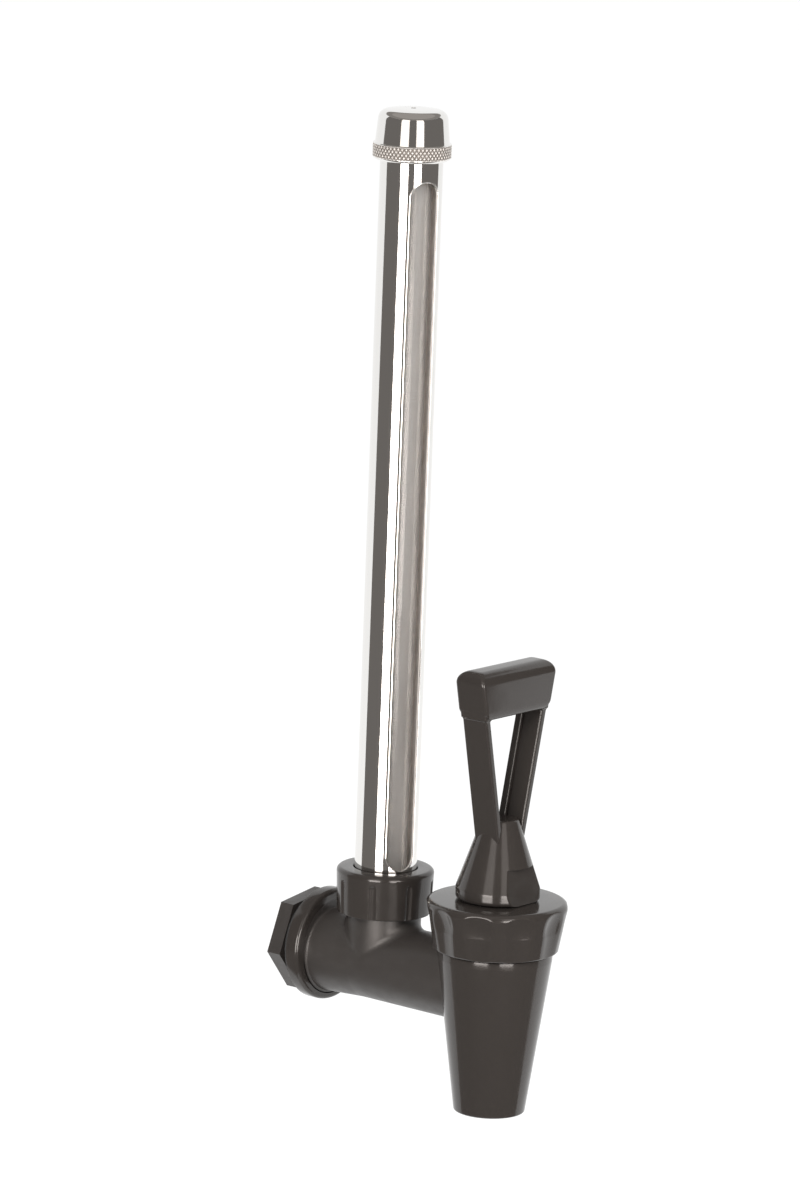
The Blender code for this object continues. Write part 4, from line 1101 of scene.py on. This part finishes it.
LEG_FOOT = 13.5
LEG_FREE = 26.0
LEG_REACH = 5.3
LEG_LEAN = 0.21
LEG_THICKNESS = 2.4
LEG_DEPTH = 9.0
LEG_ROUND = 0.5
LEG_SUNK = 2.0
FLARE_HEIGHT = 1.2
FLARE_SWELL = 0.4
RIB_HALF_THICKNESS = 1.1
RIB_HALF_DEPTH = 1.175
RIB_ROUND = 0.35
RIB_INSET = 0.1
RIB_BACK = 3.175
RIB_FIRST_LEVEL = 3
BAR_FOOT = 57.3
cone_levels = np.linspace(LEG_FOOT, CONE_HEIGHT, 6)
free_levels = np.linspace(LEG_FREE, BAR_FOOT - FLARE_HEIGHT, 20)
flare_levels = BAR_FOOT - FLARE_HEIGHT * np.cos(np.linspace(0.0, math.pi / 2, 8))[1:]
level = np.concatenate((cone_levels, free_levels, flare_levels, [BAR_FOOT + LEG_SUNK]))[:, None]
flaring = np.clip((level - BAR_FOOT + FLARE_HEIGHT) / FLARE_HEIGHT, 0.0, 1.0)
swell = FLARE_SWELL * (1 - np.sqrt(1 - flaring**2))
inner_face = LEG_REACH + LEG_LEAN * (level - CONE_HEIGHT)
for side, name in ((-1, "left"), (1, "right")):
    corner = LEG_ROUND + swell / 3
    x, y = box_ring(LEG_THICKNESS / 2 + swell, LEG_DEPTH / 2 + swell, corner, steps=5)
    x = x + side * (inner_face + LEG_THICKNESS / 2)
    points = np.stack(np.broadcast_arrays(x, y + VALVE_Y, level + HANDLE_FOOT), axis=-1)
    poles = [points[0].mean(axis=0), points[-1].mean(axis=0)]
    fit(surface(name + "_leg", points, poles=poles), plastic, "handle", "handle")
    x, y = box_ring(RIB_HALF_THICKNESS, RIB_HALF_DEPTH, RIB_ROUND, steps=4)
    x = x + side * (inner_face[RIB_FIRST_LEVEL:] + RIB_INSET)
    height = level[RIB_FIRST_LEVEL:] + HANDLE_FOOT
    points = np.stack(np.broadcast_arrays(x, y + VALVE_Y + RIB_BACK, height), axis=-1)
    poles = [points[0].mean(axis=0), points[-1].mean(axis=0)]
    rib = surface(name + "_leg_rib", points, poles=poles)
    fit(rib, plastic, "handle", "handle")

# The cross bar is moulded on the legs' upper ends. Its ends lean out as the legs do, and all its
# edges are rounded for the fingers, most at the top.
BAR_HEIGHT = 14.5
BAR_DEPTH = 11.2
BAR_OVERHANG = 0.5
BAR_FOOT_ROUND = 2.7
BAR_TOP_ROUND = 4.0
BAR_EDGE = 1.1
foot_turn = np.linspace(0.0, math.pi / 2, 9)[:, None]
top_turn = np.linspace(0.0, math.pi / 2, 17)[:, None]
foot_level = BAR_FOOT_ROUND * (1 - np.cos(foot_turn))
top_level = BAR_HEIGHT - BAR_TOP_ROUND * (1 - np.sin(top_turn))
level = np.vstack((foot_level, top_level))
top_inset = BAR_TOP_ROUND * (1 - np.cos(top_turn))
end_inset = np.vstack((BAR_FOOT_ROUND * (1 - np.sin(foot_turn)), top_inset))
face_inset = np.vstack((BAR_EDGE * (1 - np.sin(foot_turn)), top_inset))
half_at_foot = LEG_REACH + LEG_LEAN * (BAR_FOOT - CONE_HEIGHT) + LEG_THICKNESS + BAR_OVERHANG
half_length = half_at_foot + LEG_LEAN * level - end_inset
x, y = box_ring(half_length, BAR_DEPTH / 2 - face_inset, BAR_EDGE, steps=8)
height = level + BAR_FOOT + HANDLE_FOOT
points = np.stack(np.broadcast_arrays(x, y + VALVE_Y, height), axis=-1)
bar_bottom = HANDLE_FOOT + BAR_FOOT
poles = [(0.0, VALVE_Y, bar_bottom), (0.0, VALVE_Y, bar_bottom + BAR_HEIGHT)]
fit(surface("cross_bar", points, poles=poles), plastic, "handle", "handle")
